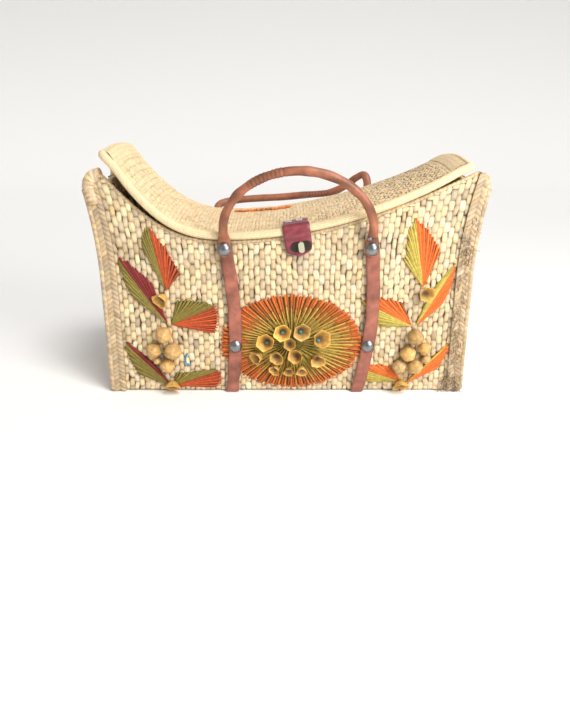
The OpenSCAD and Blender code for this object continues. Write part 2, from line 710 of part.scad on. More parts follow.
function turn(a, b) = a[0] * b[1] - a[1] * b[0];
function fan_edge(base, a, b, u) = let (p = a + (b - a) * u) p + (p - base) * fan_bulge * 4 * u * (1 - u);
module raffia_half(base, a, b, ink) {
    ccw = turn(a - base, b - base) > 0;
    from = ccw ? b : a;
    to = ccw ? a : b;
    n = 2 * fan_threads;
    edge = [for (i = [0:n]) let (p = fan_edge(base, from, to, i / n))
        i % 2 == 1 ? p : base + (p - base) * thread_short];
    mid = [for (p = edge) (base + p) / 2];
    function lift(i) = raffia_seat + raffia_t * (i % 2 == 1 ? 1 : thread_low);
    function tops(row) = [for (i = [0:n]) front_point(row[i][0], row[i][1], lift(i))];
    function feet(row) = [for (p = row) front_point(p[0], p[1], raffia_seat)];
    mt = 2;
    et = mt + n + 1;
    mf = et + n + 1;
    ef = mf + n + 1;
    color(ink) polyhedron(
        points = concat(
            [front_point(base[0], base[1], raffia_top), front_point(base[0], base[1], raffia_seat)],
            tops(mid), tops(edge), feet(mid), feet(edge)),
        faces = concat(
            [for (i = [0:n - 1]) each [
                [0, mt + i, mt + i + 1], [mt + i, et + i, et + i + 1], [mt + i, et + i + 1, mt + i + 1],
                [1, mf + i + 1, mf + i], [mf + i, ef + i + 1, ef + i], [mf + i, mf + i + 1, ef + i + 1],
                [et + i + 1, et + i, ef + i], [et + i + 1, ef + i, ef + i + 1]]],
            [[mt, 0, 1], [mt, 1, mf], [et, mt, mf], [et, mf, ef],
             [0, mt + n, mf + n], [0, mf + n, 1], [mt + n, et + n, ef + n], [mt + n, ef + n, mf + n]]));
}
// The two halves of a fan stay a thread apart along their shared middle
half_gap = 0.04;
module olive_half(fan) { raffia_half(fan[0], fan[1], fan[2] + (fan[1] - fan[2]) * half_gap, olive); }
module orange_half(fan) {
    shift = unit(fan[3] - fan[1]) * 2 * seam_gap;
    raffia_half(fan[0] + shift, fan[2] + (fan[3] - fan[2]) * half_gap + shift, fan[3] + shift, orange);
}

module left_crown_olive() { olive_half(left_crown); }
module left_crown_orange() { orange_half(left_crown); }
module left_wing_olive() { olive_half(left_wing); }
module left_wing_orange() { orange_half(left_wing); }
module left_fan_olive() { olive_half(left_fan); }
module left_fan_orange() { orange_half(left_fan); }
module left_low_wing_olive() { olive_half(left_low_wing); }
module left_low_wing_orange() { orange_half(left_low_wing); }
module left_low_fan_olive() { olive_half(left_low_fan); }
module left_low_fan_orange() { orange_half(left_low_fan); }
module right_crown_olive() { olive_half(right_crown); }
module right_crown_orange() { orange_half(right_crown); }
module right_wing_olive() { olive_half(right_wing); }
module right_wing_orange() { orange_half(right_wing); }
module right_fan_olive() { olive_half(right_fan); }
module right_fan_orange() { orange_half(right_fan); }
module right_low_wing_olive() { olive_half(right_low_wing); }
module right_low_wing_orange() { orange_half(right_low_wing); }
module right_low_fan_olive() { olive_half(right_low_fan); }
module right_low_fan_orange() { orange_half(right_low_fan); }

// Oval sunburst of radial threads
sun_eye = 0.03;
sun_short = 0.97;
function sun_point(share, a, out) =
    front_point(sun_x + share * sun_a * cos(a), sun_z + share * sun_b * sin(a), out);
module sun_ring(inner, outer, ink) {
    n = 2 * sun_threads;
    count = 4 * n;
    sections = [for (i = [0:n - 1]) let (
            a = 360 * i / n,
            up = raffia_seat + raffia_t * (i % 2 == 1 ? 1 : thread_low),
            reach = i % 2 == 1 ? outer : outer * sun_short)
        [sun_point(inner, a, raffia_seat), sun_point(inner, a, up),
         sun_point(reach, a, up), sun_point(reach, a, raffia_seat)]];
    color(ink) polyhedron(
        points = [for (s = sections) each s],
        faces = [for (i = [0:n - 1], j = [0:3]) each
            let (a = 4 * i + j, b = 4 * i + (j + 1) % 4) [
                [a, (a + 4) % count, (b + 4) % count], [a, (b + 4) % count, b]]]);
}

module sunburst_olive() { sun_ring(sun_eye, sun_core - 0.01, olive); }

module sunburst_orange() {
    difference() {
        sun_ring(sun_core, 1, orange);
        rivet_holes([front_rivet_places[2]], 0);
    }
}

// Seed pods: open cups, as [x, z, radius] on the front
sun_pods = [[-25, 77, 12], [-5, 91, 11.5], [18, 92, 11.5], [41, 80, 12.5], [-35, 57, 9.5], [-12, 57, 9.5],
    [16, 57, 10.5], [40, 54, 10], [3, 37, 7.5], [20, 38, 8], [-14, 38, 7.5], [4, 73, 8.5]];
crown_pod_places = [[-156, 136, 10], [174, 140, 10]];
end_pod_places = [[-154, 14, 11.5], [154, 15, 12]];
// Closed nuts below them, in the same form
left_nut_places = [[-159, 87, 10.5], [-174, 65, 10], [-149, 64, 11], [-172, 48, 5], [-158, 42, 9.3]];
right_nut_places = [[167, 84, 10.5], [181, 67, 8.5], [160, 60, 10], [150, 41, 9.2], [171, 41, 10],
    [185, 51, 6.3]];
nut_sink = 0.75;
pod_wall = 1.1;
pod_rise = 1.25;
module pod(r) {
    h = pod_rise * r;
    rotate_extrude($fn = 32) polygon([
        [0, 0], [0.45 * r, 0], [0.82 * r, 0.5 * h], [r, h], [r - pod_wall, h],
        [0.82 * r - pod_wall, 0.52 * h], [0.42 * r, 0.25 * h], [0, 0.2 * h]]);
}
module pods(places, seat) {
    color(pod_tan) for (p = places) on_front(p[0], p[1], seat) pod(p[2]);
}

module sunburst_pods() { pods(sun_pods, raffia_top + seam_gap); }

module nuts(places) {
    color(pod_tan) for (p = places) on_front(p[0], p[1], ridge + seam_gap)
        rotate_extrude($fn = 48) intersection() {
            translate([0, nut_sink * p[2]]) circle(p[2], $fn = 64);
            square([p[2], 2 * p[2]]);
        }
}

module left_nuts() { nuts(left_nut_places); }

module right_nuts() { nuts(right_nut_places); }

module crown_pods() { pods(crown_pod_places, ridge + seam_gap); }

module end_pods() { pods(end_pod_places, raffia_top + seam_gap); }

module pod_beads() {
    color("teal") for (i = [0:3]) let (p = sun_pods[i])
        on_front(p[0], p[1], raffia_top + seam_gap + 0.2 * pod_rise * p[2] + bead_r + seam_gap / 3)
            sphere(bead_r, $fn = 32);
}

// Short loose end of blue raffia beside the left pods
blue_route = [[-131, 58], [-134, 53], [-135, 47], [-133, 42], [-128, 40]];
blue_r = 1;
module blue_raffia() {
    path = spline([for (p = blue_route) front_point(p[0], p[1], ridge + seam_gap + blue_r)], 3);
    color("royalblue") loft(tube_rings(path, blue_r, 6, [0, 1, 0], [for (p = path) 1]));
}

front_panel();
back_panel();
base_panel();
left_gusset();
right_gusset();
front_left_binding();
front_right_binding();
back_left_binding();
back_right_binding();
lid_panel();
lid_binding();
lid_darn();
hinge_cord();
hinge_loops();
front_left_strap();
front_right_strap();
back_left_strap();
back_right_strap();
front_handle_feet();
back_handle_feet();
front_handle();
back_handle();
front_rivets();
back_rivets();
small_rivet();
closure_tab();
tab_staples();
lock_plate();
lock_knob();
lock_keeper();
sunburst_olive();
sunburst_orange();
left_crown_olive();
left_crown_orange();
left_wing_olive();
left_wing_orange();
left_fan_olive();
left_fan_orange();
left_low_wing_olive();
left_low_wing_orange();
left_low_fan_olive();
left_low_fan_orange();
right_crown_olive();
right_crown_orange();
right_wing_olive();
right_wing_orange();
right_fan_olive();
right_fan_orange();
right_low_wing_olive();
right_low_wing_orange();
right_low_fan_olive();
right_low_fan_orange();
sunburst_pods();
crown_pods();
end_pods();
left_nuts();
right_nuts();
pod_beads();
blue_raffia();
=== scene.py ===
import math

import bpy
import numpy as np
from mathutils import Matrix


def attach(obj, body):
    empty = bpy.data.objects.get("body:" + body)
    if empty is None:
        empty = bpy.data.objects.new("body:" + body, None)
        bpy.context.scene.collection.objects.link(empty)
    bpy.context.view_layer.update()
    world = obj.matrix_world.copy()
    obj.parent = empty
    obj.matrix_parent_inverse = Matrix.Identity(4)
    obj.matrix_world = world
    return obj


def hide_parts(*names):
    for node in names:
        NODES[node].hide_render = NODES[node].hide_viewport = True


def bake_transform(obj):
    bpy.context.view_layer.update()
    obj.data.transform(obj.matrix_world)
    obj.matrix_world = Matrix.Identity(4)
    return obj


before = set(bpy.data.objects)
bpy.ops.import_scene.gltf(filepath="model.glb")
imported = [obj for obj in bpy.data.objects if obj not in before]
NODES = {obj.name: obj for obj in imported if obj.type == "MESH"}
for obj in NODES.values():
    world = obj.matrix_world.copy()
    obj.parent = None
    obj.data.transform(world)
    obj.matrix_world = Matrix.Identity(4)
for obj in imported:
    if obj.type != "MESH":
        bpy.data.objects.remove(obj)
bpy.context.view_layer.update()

rng = np.random.default_rng(11)

MM = 0.001
# Sizes in millimetres, as in the part's source
BASE_LEN, WAIST_LEN, EAR_LEN, BASE_DEPTH = 472, 458, 500, 180
RIM_Z, EAR_Z, WAIST_Z, BELLY, LEAN, PINCH = 205, 283, 160, 6, 18, 17
RIM_LOW, LEFT_RISE, RIGHT_RISE = -0.33, (0.87, 2.6), (0.95, 2.0)
MAT, DIP, BINDING_SEAT, BRAID_W = 5, 26, 1.65, 16
LID_T, LID_SHARE, CROWN, LIFT_LEFT, LIFT_RIGHT, LID_GAP, LID_CURL = 9, 0.87, 4, 26, 6, 1, 6
ROLL_R, HINGE_GAP, LOOPS = 5, 5.8, (-105, -60, -15)
RAFFIA_SEAT, STRAP_SEAT, FOOT_SEAT, STRAP_T, STRAP_W, FOOT_W = 2.0, 4.1, 7.4, 3, 17, 16
HANDLE_R, HANDLE_X, SPAN, RISE, HANDLE_LEAN = 5.5, 14, 180, 70, 8
BACK_X, BACK_SPAN, RIVET_Z, BACK_RIVET_Z, BEND_OUT, BEND_GAP = 8, 208, 196, 163, 4.5, 0.3
FOOT_UP, FOOT_LOW, EAR_R = 17, 9, 18
TAB_X, TAB_W, TAB_T, TAB_BACK, TAB_FOOT_Z = 12, 33, 2.4, 17, 188
SUN_X, SUN_Z, SUN_A, SUN_B = 6, 73, 92, 66


def half_len(z):
    z = np.asarray(z, float)
    low = (BASE_LEN - WAIST_LEN) / 2 * ((WAIST_Z - z) / WAIST_Z) ** 2
    high = (EAR_LEN - WAIST_LEN) / 2 * ((z - WAIST_Z) / (EAR_Z - WAIST_Z)) ** 2
    return WAIST_LEN / 2 + np.where(z < WAIST_Z, low, high)


def rim_z(s):
    s = np.asarray(s, float)
    left = np.clip((RIM_LOW - s) / (1 + RIM_LOW) / LEFT_RISE[0], 0, 1) ** LEFT_RISE[1]
    right = np.clip((s - RIM_LOW) / (1 - RIM_LOW) / RIGHT_RISE[0], 0, 1) ** RIGHT_RISE[1]
    return RIM_Z + (EAR_Z - RIM_Z) * np.where(s < RIM_LOW, left, right)


def rim_x(s):
    return s * half_len(rim_z(s))


def ear_drop(d):
    """How far the rounded top of an ear lies below its corner, d from the end."""
    k = np.clip(EAR_R - np.asarray(d, float), 0, EAR_R)
    return EAR_R - np.sqrt(EAR_R ** 2 - k ** 2)


def top_z(s):
    return rim_z(s) - ear_drop((1 - np.abs(s)) * half_len(rim_z(s)))


def half_depth(x, z):
    x, z = np.asarray(x, float), np.asarray(z, float)
    return (BASE_DEPTH / 2 + BELLY * np.sin(np.pi * z / EAR_Z)
            - (LEAN + PINCH * (2 * x / EAR_LEN) ** 2) * (z / EAR_Z) ** 2)


def wall(x, z, out, side=-1):
    """Points on the front (side -1) or back (side 1), out from the mat's outer face."""
    x, z, out = np.broadcast_arrays(np.asarray(x, float), z, out)
    return np.stack([x, side * (half_depth(x, z) + out), z], -1)


def gusset_top(t):
    return np.minimum(EAR_Z - DIP * (1 - np.asarray(t, float) ** 2), EAR_Z - EAR_R)


def gusset(t, z, out, side):
    t, z, out = np.broadcast_arrays(np.asarray(t, float), z, out)
    x = half_len(z)
    return np.stack([side * (x + out), t * (half_depth(x, z) - MAT - 0.9), z], -1)


def lid_floor(s):
    s = np.asarray(s, float)
    return rim_z(s) + LID_GAP + np.where(s < 0, LIFT_LEFT, LIFT_RIGHT) * (s / LID_SHARE) ** LID_CURL


def lid_point(s, t, up):
    s, t, up = np.broadcast_arrays(np.asarray(s, float), t, up)
    x = rim_x(s)
    edge = half_depth(x, rim_z(s))
    notch = sum(3.2 * np.exp(-((x - p) / 5) ** 4) for p in LOOPS)
    y = (MAT - edge) * (1 - t) + (edge - HINGE_GAP - notch) * t
    return np.stack([x, y, lid_floor(s) + up + CROWN * np.sin(np.pi * t)], -1)


class Build:
    """Collects grids of points in millimetres, with a colour for each point."""

    def __init__(self):
        self.points, self.faces, self.tints, self.count = [], [], [], 0

    def grids(self, p, tint, flip=False, wrap=False):
        """Adds n sheets, p of shape (n, rows, cols, 3); wrap joins each sheet's last column to its first."""
        n, r, c = p.shape[:3]
        index = np.arange(n * r * c).reshape(n, r, c) + self.count
        if wrap:
            index = np.concatenate([index, index[:, :, :1]], 2)
        a, b, d, e = index[:, :-1, :-1], index[:, 1:, :-1], index[:, 1:, 1:], index[:, :-1, 1:]
        quads = np.stack([a, e, d, b] if flip else [a, b, d, e], -1).reshape(-1, 4)
        self.points.append(p.reshape(-1, 3))
        self.tints.append(np.broadcast_to(np.asarray(tint, float), p.shape).reshape(-1, 3))
        self.faces.append(quads)
        self.count += n * r * c

    def grid(self, p, tint, flip=False, wrap=False):
        self.grids(p[None], np.broadcast_to(np.asarray(tint, float), p.shape)[None], flip, wrap)

    def object(self, name, material, body, slot, nodes):
        points = np.concatenate(self.points) * MM
        mesh = bpy.data.meshes.new(name)
        mesh.from_pydata(points.tolist(), [], np.concatenate(self.faces).tolist())
        mesh.validate()
        colours = mesh.color_attributes.new("tint", "FLOAT_COLOR", "POINT")
        tints = np.concatenate(self.tints)
        colours.data.foreach_set("color", np.concatenate([tints, np.ones((len(tints), 1))], 1).ravel())
        mesh.materials.append(material)
        mesh.polygons.foreach_set("use_smooth", [True] * len(mesh.polygons))
        piece = bpy.data.objects.new(name.replace(" ", "_"), mesh)
        bpy.context.collection.objects.link(piece)
        if body:
            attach(piece, body)
        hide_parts(*nodes)
        return piece


# How deep a bump of strength 1 is, in metres
BUMP_DEPTH = 0.0006


def material(name, rough, colour=None, metal=0.0, streak=0.0, scale=400.0, stretch=(1, 1, 1), bump=0.0):
    """Colour from each point's tint, or one colour, broken up by noise, with a fine bump."""
    mat = bpy.data.materials.new(name)
    mat.use_nodes = True
    tree = mat.node_tree
    shader = tree.nodes["Principled BSDF"]
    shader.inputs["Roughness"].default_value = rough
    shader.inputs["Metallic"].default_value = metal
    place = tree.nodes.new("ShaderNodeTexCoord")
    mapping = tree.nodes.new("ShaderNodeMapping")
    mapping.inputs["Scale"].default_value = stretch
    tree.links.new(place.outputs["Object"], mapping.inputs["Vector"])
    grain = tree.nodes.new("ShaderNodeTexNoise")
    grain.inputs["Scale"].default_value = scale
    grain.inputs["Detail"].default_value = 4.0
    tree.links.new(mapping.outputs["Vector"], grain.inputs["Vector"])
    ramp = tree.nodes.new("ShaderNodeMapRange")
    ramp.inputs["From Min"].default_value = 0.3
    ramp.inputs["From Max"].default_value = 0.7
    ramp.inputs["To Min"].default_value = 1 - streak
    ramp.inputs["To Max"].default_value = 1 + streak
    tree.links.new(grain.outputs["Fac"], ramp.inputs["Value"])
    mix = tree.nodes.new("ShaderNodeVectorMath")
    mix.operation = "SCALE"
    if colour is None:
        tint = tree.nodes.new("ShaderNodeAttribute")
        tint.attribute_name = "tint"
        tree.links.new(tint.outputs["Color"], mix.inputs[0])
    else:
        mix.inputs[0].default_value = colour
    tree.links.new(ramp.outputs["Result"], mix.inputs["Scale"])
    tree.links.new(mix.outputs["Vector"], shader.inputs["Base Color"])
    if bump:
        relief = tree.nodes.new("ShaderNodeBump")
        relief.inputs["Strength"].default_value = bump
        relief.inputs["Distance"].default_value = BUMP_DEPTH
        tree.links.new(grain.outputs["Fac"], relief.inputs["Height"])
        tree.links.new(relief.outputs["Normal"], shader.inputs["Normal"])
    return mat


STRAW = material("straw", 0.6, streak=0.16, scale=300, stretch=(3, 3, 0.6), bump=0.25)
LID_STRAW = material("lid straw", 0.6, streak=0.14, scale=300, stretch=(2.5, 0.8, 1), bump=0.2)
LEATHER = material("leather", 0.42, streak=0.2, scale=130, bump=0.3)
RAFFIA = material("raffia", 0.78, streak=0.2, scale=260, bump=0.2)
POD = material("pod", 0.52, streak=0.25, scale=240, bump=0.4)
SILVER = material("silver", 0.33, colour=(0.27, 0.275, 0.29), metal=1.0, streak=0.08, scale=200)
STAPLE = material("staple", 0.45, colour=(0.72, 0.72, 0.75), metal=0.4, streak=0.05, scale=200)
BRONZE = material("bronze", 0.4, colour=(0.05, 0.045, 0.035), metal=0.8, streak=0.2, scale=200)
KNOB = material("knob", 0.35, colour=(0.62, 0.62, 0.44), metal=0.7, streak=0.1, scale=200)
BEAD = material("bead", 0.35, colour=(0.06, 0.22, 0.25), streak=0.2, scale=300)

# Weave: every strand that shows is a small pillow whose ends dip under its neighbours
STRAW_TINT = np.array([0.80, 0.615, 0.375])
# Painted shade: the dark seen between strands, given to the backing sheets under the weave
GAP_SHADE = np.array([0.13, 0.07, 0.04])
# How the outer strands of walls and gussets fill, taper, lean and shade
WALL_STRANDS = {"fill": (1.06, 1.15), "spread": 0.16, "taper": 0.1, "jitter": 0.1,
                "ends": 0.5, "edge": 0.4, "lean": 2.2}
BRAID_TINT = np.array([0.62, 0.46, 0.28])


def tints(n, base, spread=0.12, warm=0.06):
    """A colour for each of n strands."""
    light = 1 + spread * rng.standard_normal((n, 1))
    hue = warm * rng.standard_normal((n, 1)) * np.array([[0.4, 0.0, -1.0]])
    return np.clip(base * light * (1 + hue), 0.02, 0.95)


def pillow(across, along, high, dip):
    """Height of a strand over its cell, for across and along from -1 to 1."""
    return -dip + (high + dip) * (1 - np.abs(along) ** 4) * (1 - 0.4 * np.abs(across) ** 4)


def bricks(build, cells, at, base, high, dip, fill=(0.94, 1.12), steps=(5, 6), flip=False, spread=0.12, taper=0.14,
           jitter=0.11, ends=0.42, edge=0.45, lean=1.0):
    """cells are rows of (a, b, half a, half b); at(a, b, out) gives points; strands run along b."""
    cells = np.asarray(cells, float)
    n = len(cells)
    u = np.linspace(-1, 1, steps[0])[None, None, :]
    w = np.linspace(-1, 1, steps[1])[None, :, None]
    loose = jitter * rng.standard_normal((4, n, 1, 1))
    half = cells[:, 2, None, None] * fill[0] * (1 - taper * np.abs(w) ** 3) * (1 + loose[0])
    a = cells[:, 0, None, None] + half * u + cells[:, 2, None, None] * (loose[1] + lean * loose[2] * w)
    b = cells[:, 1, None, None] + cells[:, 3, None, None] * (fill[1] * w + loose[3]) + 0 * u
    swell = np.clip(1 + 0.2 * rng.standard_normal((n, 1, 1)), 0.6, 1.15)
    out = pillow(u, w, high, dip) * swell
    shade = (1 - ends * np.abs(w) ** 3) * (1 - edge * np.abs(u) ** 6)
    colour = tints(n, base, spread)[:, None, None, :] * shade[..., None]
    build.grids(at(a, b, out), colour, flip)


def half_drop(cols, pitch, low, top, a_of):
    """Cells of half-drop columns; top(a) is the height where a column ends."""
    cells = []
    for j in range(cols):
        a, half = a_of(j)
        z, end = low - (pitch / 2 if j % 2 else 0), float(top(a))
        while z < end - 1:
            z1 = min(z + pitch, end)
            if z1 > low + 1:
                z0 = max(z, low)
                cells.append((a, (z0 + z1) / 2, half, (z1 - z0) / 2))
            z += pitch
    return cells


def shell(build, outer, inner, tint, flip=False):
    """A closed sheet between two grids of the same shape."""
    build.grid(outer, tint, flip)
    build.grid(inner, tint, not flip)
    ring_o = np.concatenate([outer[0], outer[1:, -1], outer[-1, -2::-1], outer[-2::-1, 0]])
    ring_i = np.concatenate([inner[0], inner[1:, -1], inner[-1, -2::-1], inner[-2::-1, 0]])
    build.grid(np.stack([ring_o, ring_i]), np.asarray(tint).reshape(-1, 3).mean(0), flip)


def tube(build, path, r, tint, sides=10, ref=(0, 1, 0), wide=None, thick=None):
    """A round or flattened tube along path; r, wide and thick may vary along it and r round it too."""
    path = np.asarray(path, float)
    t = np.gradient(path, axis=0)
    t /= np.linalg.norm(t, axis=1, keepdims=True)
    side = np.cross(t, np.asarray(ref, float))
    side /= np.linalg.norm(side, axis=1, keepdims=True)
    up = np.cross(t, side)
    a = np.linspace(0, 2 * np.pi, sides, endpoint=False)
    n = len(path)
    wide = np.broadcast_to(1.0 if wide is None else wide, n)
    thick = np.broadcast_to(1.0 if thick is None else thick, n)
    r = np.broadcast_to(np.asarray(r, float).reshape((-1, 1)) if np.ndim(r) == 1 else r, (n, sides))
    ring = (path[:, None] + r[..., None] * (side[:, None] * (wide[:, None, None] * np.cos(a)[None, :, None])
                                             + up[:, None] * (thick[:, None, None] * np.sin(a)[None, :, None])))
    tint = np.broadcast_to(np.asarray(tint, float), (n, sides, 3)) if np.ndim(tint) < 3 else tint
    build.grid(ring, tint, False, True)
    for end, flip in ((0, True), (n - 1, False)):
        cap = np.stack([np.repeat(ring[end].mean(0)[None], sides, 0), ring[end]])
        build.grid(cap, tint[end][None].repeat(2, 0), not flip, True)


def resample(path, step):
    """A smooth curve through points, at even steps."""
    p = np.asarray(path, float)
    q = np.concatenate([p[:1] * 2 - p[1:2], p, p[-1:] * 2 - p[-2:-1]])
    out = []
    for i in range(len(p) - 1):
        a, b, c, d = q[i:i + 4]
        t = np.linspace(0, 1, 24, endpoint=False)[:, None]
        out.append((2 * b + (c - a) * t + (2 * a - 5 * b + 4 * c - d) * t ** 2
                    + (3 * b - a - 3 * c + d) * t ** 3) / 2)
    fine = np.concatenate(out + [p[-1:]])
    run = np.concatenate([[0], np.cumsum(np.linalg.norm(np.diff(fine, axis=0), axis=1))])
    count = max(int(run[-1] / step), 2)
    at = np.linspace(0, run[-1], count + 1)
    return np.stack([np.interp(at, run, fine[:, k]) for k in range(3)], 1)


def wrapped(build, path, r, tint, pitch=7.0, depth=0.12, sides=14, ref=(0, 0, 1), step=1.8):
    """A roll bound with straw: grooves run round it like a screw."""
    path = resample(path, step)
    run = np.arange(len(path)) * step
    a = np.linspace(0, 2 * np.pi, sides, endpoint=False)
    phase = (run[:, None] / pitch + a[None] / (2 * np.pi)) % 1
    groove = 1 - depth * np.abs(2 * phase - 1) ** 3
    turn = np.floor(run[:, None] / pitch + a[None] / (2 * np.pi)).astype(int)
    strand = tints(turn.max() - turn.min() + 1, np.asarray(tint), 0.12)
    # Painted shade: each turn darker towards the grooves between turns
    colour = strand[turn - turn.min()] * (1 - 0.45 * np.abs(2 * phase - 1) ** 4)[..., None]
    tube(build, path, r * groove, colour, sides, ref)


def corded(build, path, r, tint, strands=11, step=3.0, ref=(0, 0, 1)):
    """A smooth roll of straw whose strands run along it."""
    path = resample(path, step)
    sides = 3 * strands
    a = np.arange(sides)
    dip = np.where(a % 3 == 0, 0.965, 1.0)[None]
    local = np.random.default_rng(5)
    wob = 1 + 0.012 * np.cumsum(local.standard_normal((len(path), 1)), 0) / 6
    # Painted shade: every third side, in the dip between strands, is darker
    lines = tints(strands, np.asarray(tint), 0.06)[a // 3][None] * np.where(a % 3 == 0, 0.8, 1.0)[None, :, None]
    lines = lines * (1 + 0.05 * local.standard_normal((len(path), sides, 1)))
    tube(build, path, r * dip * np.clip(wob, 0.95, 1.03), np.clip(lines, 0.02, 0.95), sides, ref)


def braid(build, at, length, pitch, tint, high, flip=False, start=1.0):
    """A chevron braid: at(u, v, out) with u from -1 to 1 across and v along."""
    k = np.arange(start, length - pitch * 0.4, pitch)
    q = np.linspace(0, 1, 6)[None, None, :]
    w = np.linspace(-1, 1, 4)[None, :, None]
    for side in (-1, 1):
        colour = tints(len(k), tint, 0.12)[:, None, None, :]
        u = side * (1.02 - 1.1 * q) + 0 * w + 0 * k[:, None, None]
        v = k[:, None, None] + pitch * (0.9 * q + 0.56 * w)
        arc = 0.35 + 0.65 * np.sin(np.pi * np.clip(q + 0.08, 0, 1)) ** 0.7
        out = high * arc * (1 - 0.6 * np.abs(w) ** 2.5) + 0 * v
        shade = (1 - 0.25 * np.abs(w) ** 4) * (1 - 0.2 * q ** 3) + 0 * v
        build.grids(at(u, np.clip(v, 0.6, length), out), colour * shade[..., None], flip ^ (side > 0))


# Walls: a dark backing sheet under each face, painted shade that shows between the strands, strands outside and inside,
# and a bound rim
WALL_COLS, GUSSET_COLS, WALL_PITCH = 68, 24, 12.5
BACKING, FLOOR_Z = 0.7, 0.6
OUTER_HIGH, OUTER_DIP, INNER_HIGH, INNER_DIP = 1.7, 0.9, 1.2, 0.6
RIM_DROP, RIM_R, RIM_PITCH = 2.4, 2.9, 6
SPAN_S = np.linspace(-1, 1, 61)


def wall_piece(name, side, nodes):
    b = Build()
    v = np.linspace(0, 1, 25)[:, None]
    z = v * (top_z(SPAN_S)[None] - 0.6) + 0.4
    x = SPAN_S[None] * half_len(z)
    # The backing sheet is painted shade, seen between the strands
    shell(b, wall(x, z, -BACKING, side), wall(x, z, -MAT + BACKING, side), GAP_SHADE, side > 0)
    a_of = lambda j: (-1 + (2 * j + 1) / WALL_COLS, 1 / WALL_COLS)
    cells = half_drop(WALL_COLS, WALL_PITCH, 1.0, lambda s: top_z(s) - 3, a_of)

    def outside(s, h, out):
        h = np.clip(h, FLOOR_Z, top_z(s) - 1)
        return wall(s * half_len(h), h, out, side)

    bricks(b, cells, outside, STRAW_TINT, OUTER_HIGH, OUTER_DIP, flip=side > 0, **WALL_STRANDS)
    bricks(b, cells, lambda s, h, out: outside(s, h, -MAT - out), STRAW_TINT * 0.9, INNER_HIGH, INNER_DIP,
           steps=(3, 4), flip=side < 0)
    rim = wall(rim_x(SPAN_S), top_z(SPAN_S) - RIM_DROP, -MAT / 2, side)[2:-2]
    wrapped(b, rim, RIM_R, STRAW_TINT * 0.85, RIM_PITCH)
    return b.object(name, STRAW, "bag", "palm_straw", nodes)


wall_piece("front weave", -1, ["front_panel"])
wall_piece("back weave", 1, ["back_panel"])


def gusset_piece(name, side, nodes):
    b = Build()
    t = np.linspace(-1, 1, 25)
    v = np.linspace(0, 1, 25)[:, None]
    z = v * (gusset_top(t)[None] - 0.6) + 0.4
    # The backing sheet is painted shade, seen between the strands
    shell(b, gusset(t[None], z, -BACKING, side), gusset(t[None], z, -MAT + BACKING, side), GAP_SHADE, side < 0)
    a_of = lambda j: (-1 + (2 * j + 1) / GUSSET_COLS, 1 / GUSSET_COLS)
    cells = half_drop(GUSSET_COLS, WALL_PITCH, 1.0, lambda s: gusset_top(s) - 3, a_of)
    at = lambda s, h, out: gusset(s, np.clip(h, FLOOR_Z, gusset_top(s) - 1), out, side)
    bricks(b, cells, at, STRAW_TINT * 0.95, OUTER_HIGH, OUTER_DIP, flip=side < 0, **WALL_STRANDS)
    bricks(b, cells, lambda s, h, out: at(s, h, -MAT - out), STRAW_TINT * 0.88, INNER_HIGH, INNER_DIP,
           steps=(3, 4), flip=side > 0)
    rim = gusset(t, gusset_top(t) - RIM_DROP, -MAT / 2, side)[1:-1]
    wrapped(b, rim, RIM_R, STRAW_TINT * 0.85, RIM_PITCH)
    return b.object(name, STRAW, "bag", "palm_straw", nodes)


gusset_piece("left gusset weave", -1, ["left_gusset"])
gusset_piece("right gusset weave", 1, ["right_gusset"])

# Base: the same weave on both faces of a flat sheet, whose dark colour is painted shade between the strands
b = Build()
BASE_COLS, BASE_PITCH, BASE_LOW, BASE_TOP = 36, 16.0, 0.6, 4.4
base_x, base_y = float(half_len(5.0)) - 5.5, 84.5
gx, gy = np.meshgrid(np.linspace(-base_x, base_x, 41), np.linspace(-base_y, base_y, 17))
shell(b, np.stack([gx, gy, 0 * gx + BASE_LOW], -1), np.stack([gx, gy, 0 * gx + BASE_TOP], -1), GAP_SHADE, False)
base_cells = half_drop(BASE_COLS, BASE_PITCH, -base_y, lambda s: base_y,
                       lambda j: (-base_x + base_x * (2 * j + 1) / BASE_COLS, base_x / BASE_COLS))
for face, lift, under in ((0.5, -0.3, True), (BASE_TOP, 0.4, False)):
    bricks(b, base_cells, lambda x, y, out: np.stack([x, np.clip(y, -base_y, base_y), face + lift * out], -1),
           STRAW_TINT * 0.85, 1.5, 0.6, steps=(3, 4), fill=(0.94, 1.0), flip=under)
b.object("base weave", STRAW, "bag", "palm_straw", ["base_panel"])


# Corner bindings: a chevron braid on each side of a corner, a bound edge and a roll over the ear
BRAID_PITCH, BRAID_HIGH, BRAID_LIFT = 6.0, 2.2, 1.6
# The ear's roll on the left and right: radius, drop, inset and how far it follows the rounding
EAR_ROLL = {-1: (9.5, 5, 4, EAR_R), 1: (6.0, 4, 1, 12)}
FIBRES, TUFT, FIBRE_R = 230, 64, 0.4


def fray(build, front, tint):
    """Loose fibres on a worn braid, the last of them in a tuft at its foot."""
    local = np.random.default_rng(77)
    for i in range(FIBRES):
        low = i >= FIBRES - TUFT
        u0 = np.array(local.uniform(-2.4 if low else -1, 1))
        h0 = np.array(local.uniform(2, 26) if low else 4 + 226 * local.random())
        d = np.array([local.normal(0, 0.9 if low else 0.4), -abs(local.normal(0, 0.2)), local.normal(0, 1)])
        d *= local.uniform(4, 11) / np.linalg.norm(d)
        p0 = front(u0, h0, 3.6)
        fibre = np.maximum([p0, p0 + 0.5 * d + (0, -0.7, 0), p0 + d], (-400, -400, 0.8))
        tube(build, fibre, FIBRE_R, tint * local.uniform(0.35, 0.8 if low else 1.35), 4, (0.3, 1, 0.1))


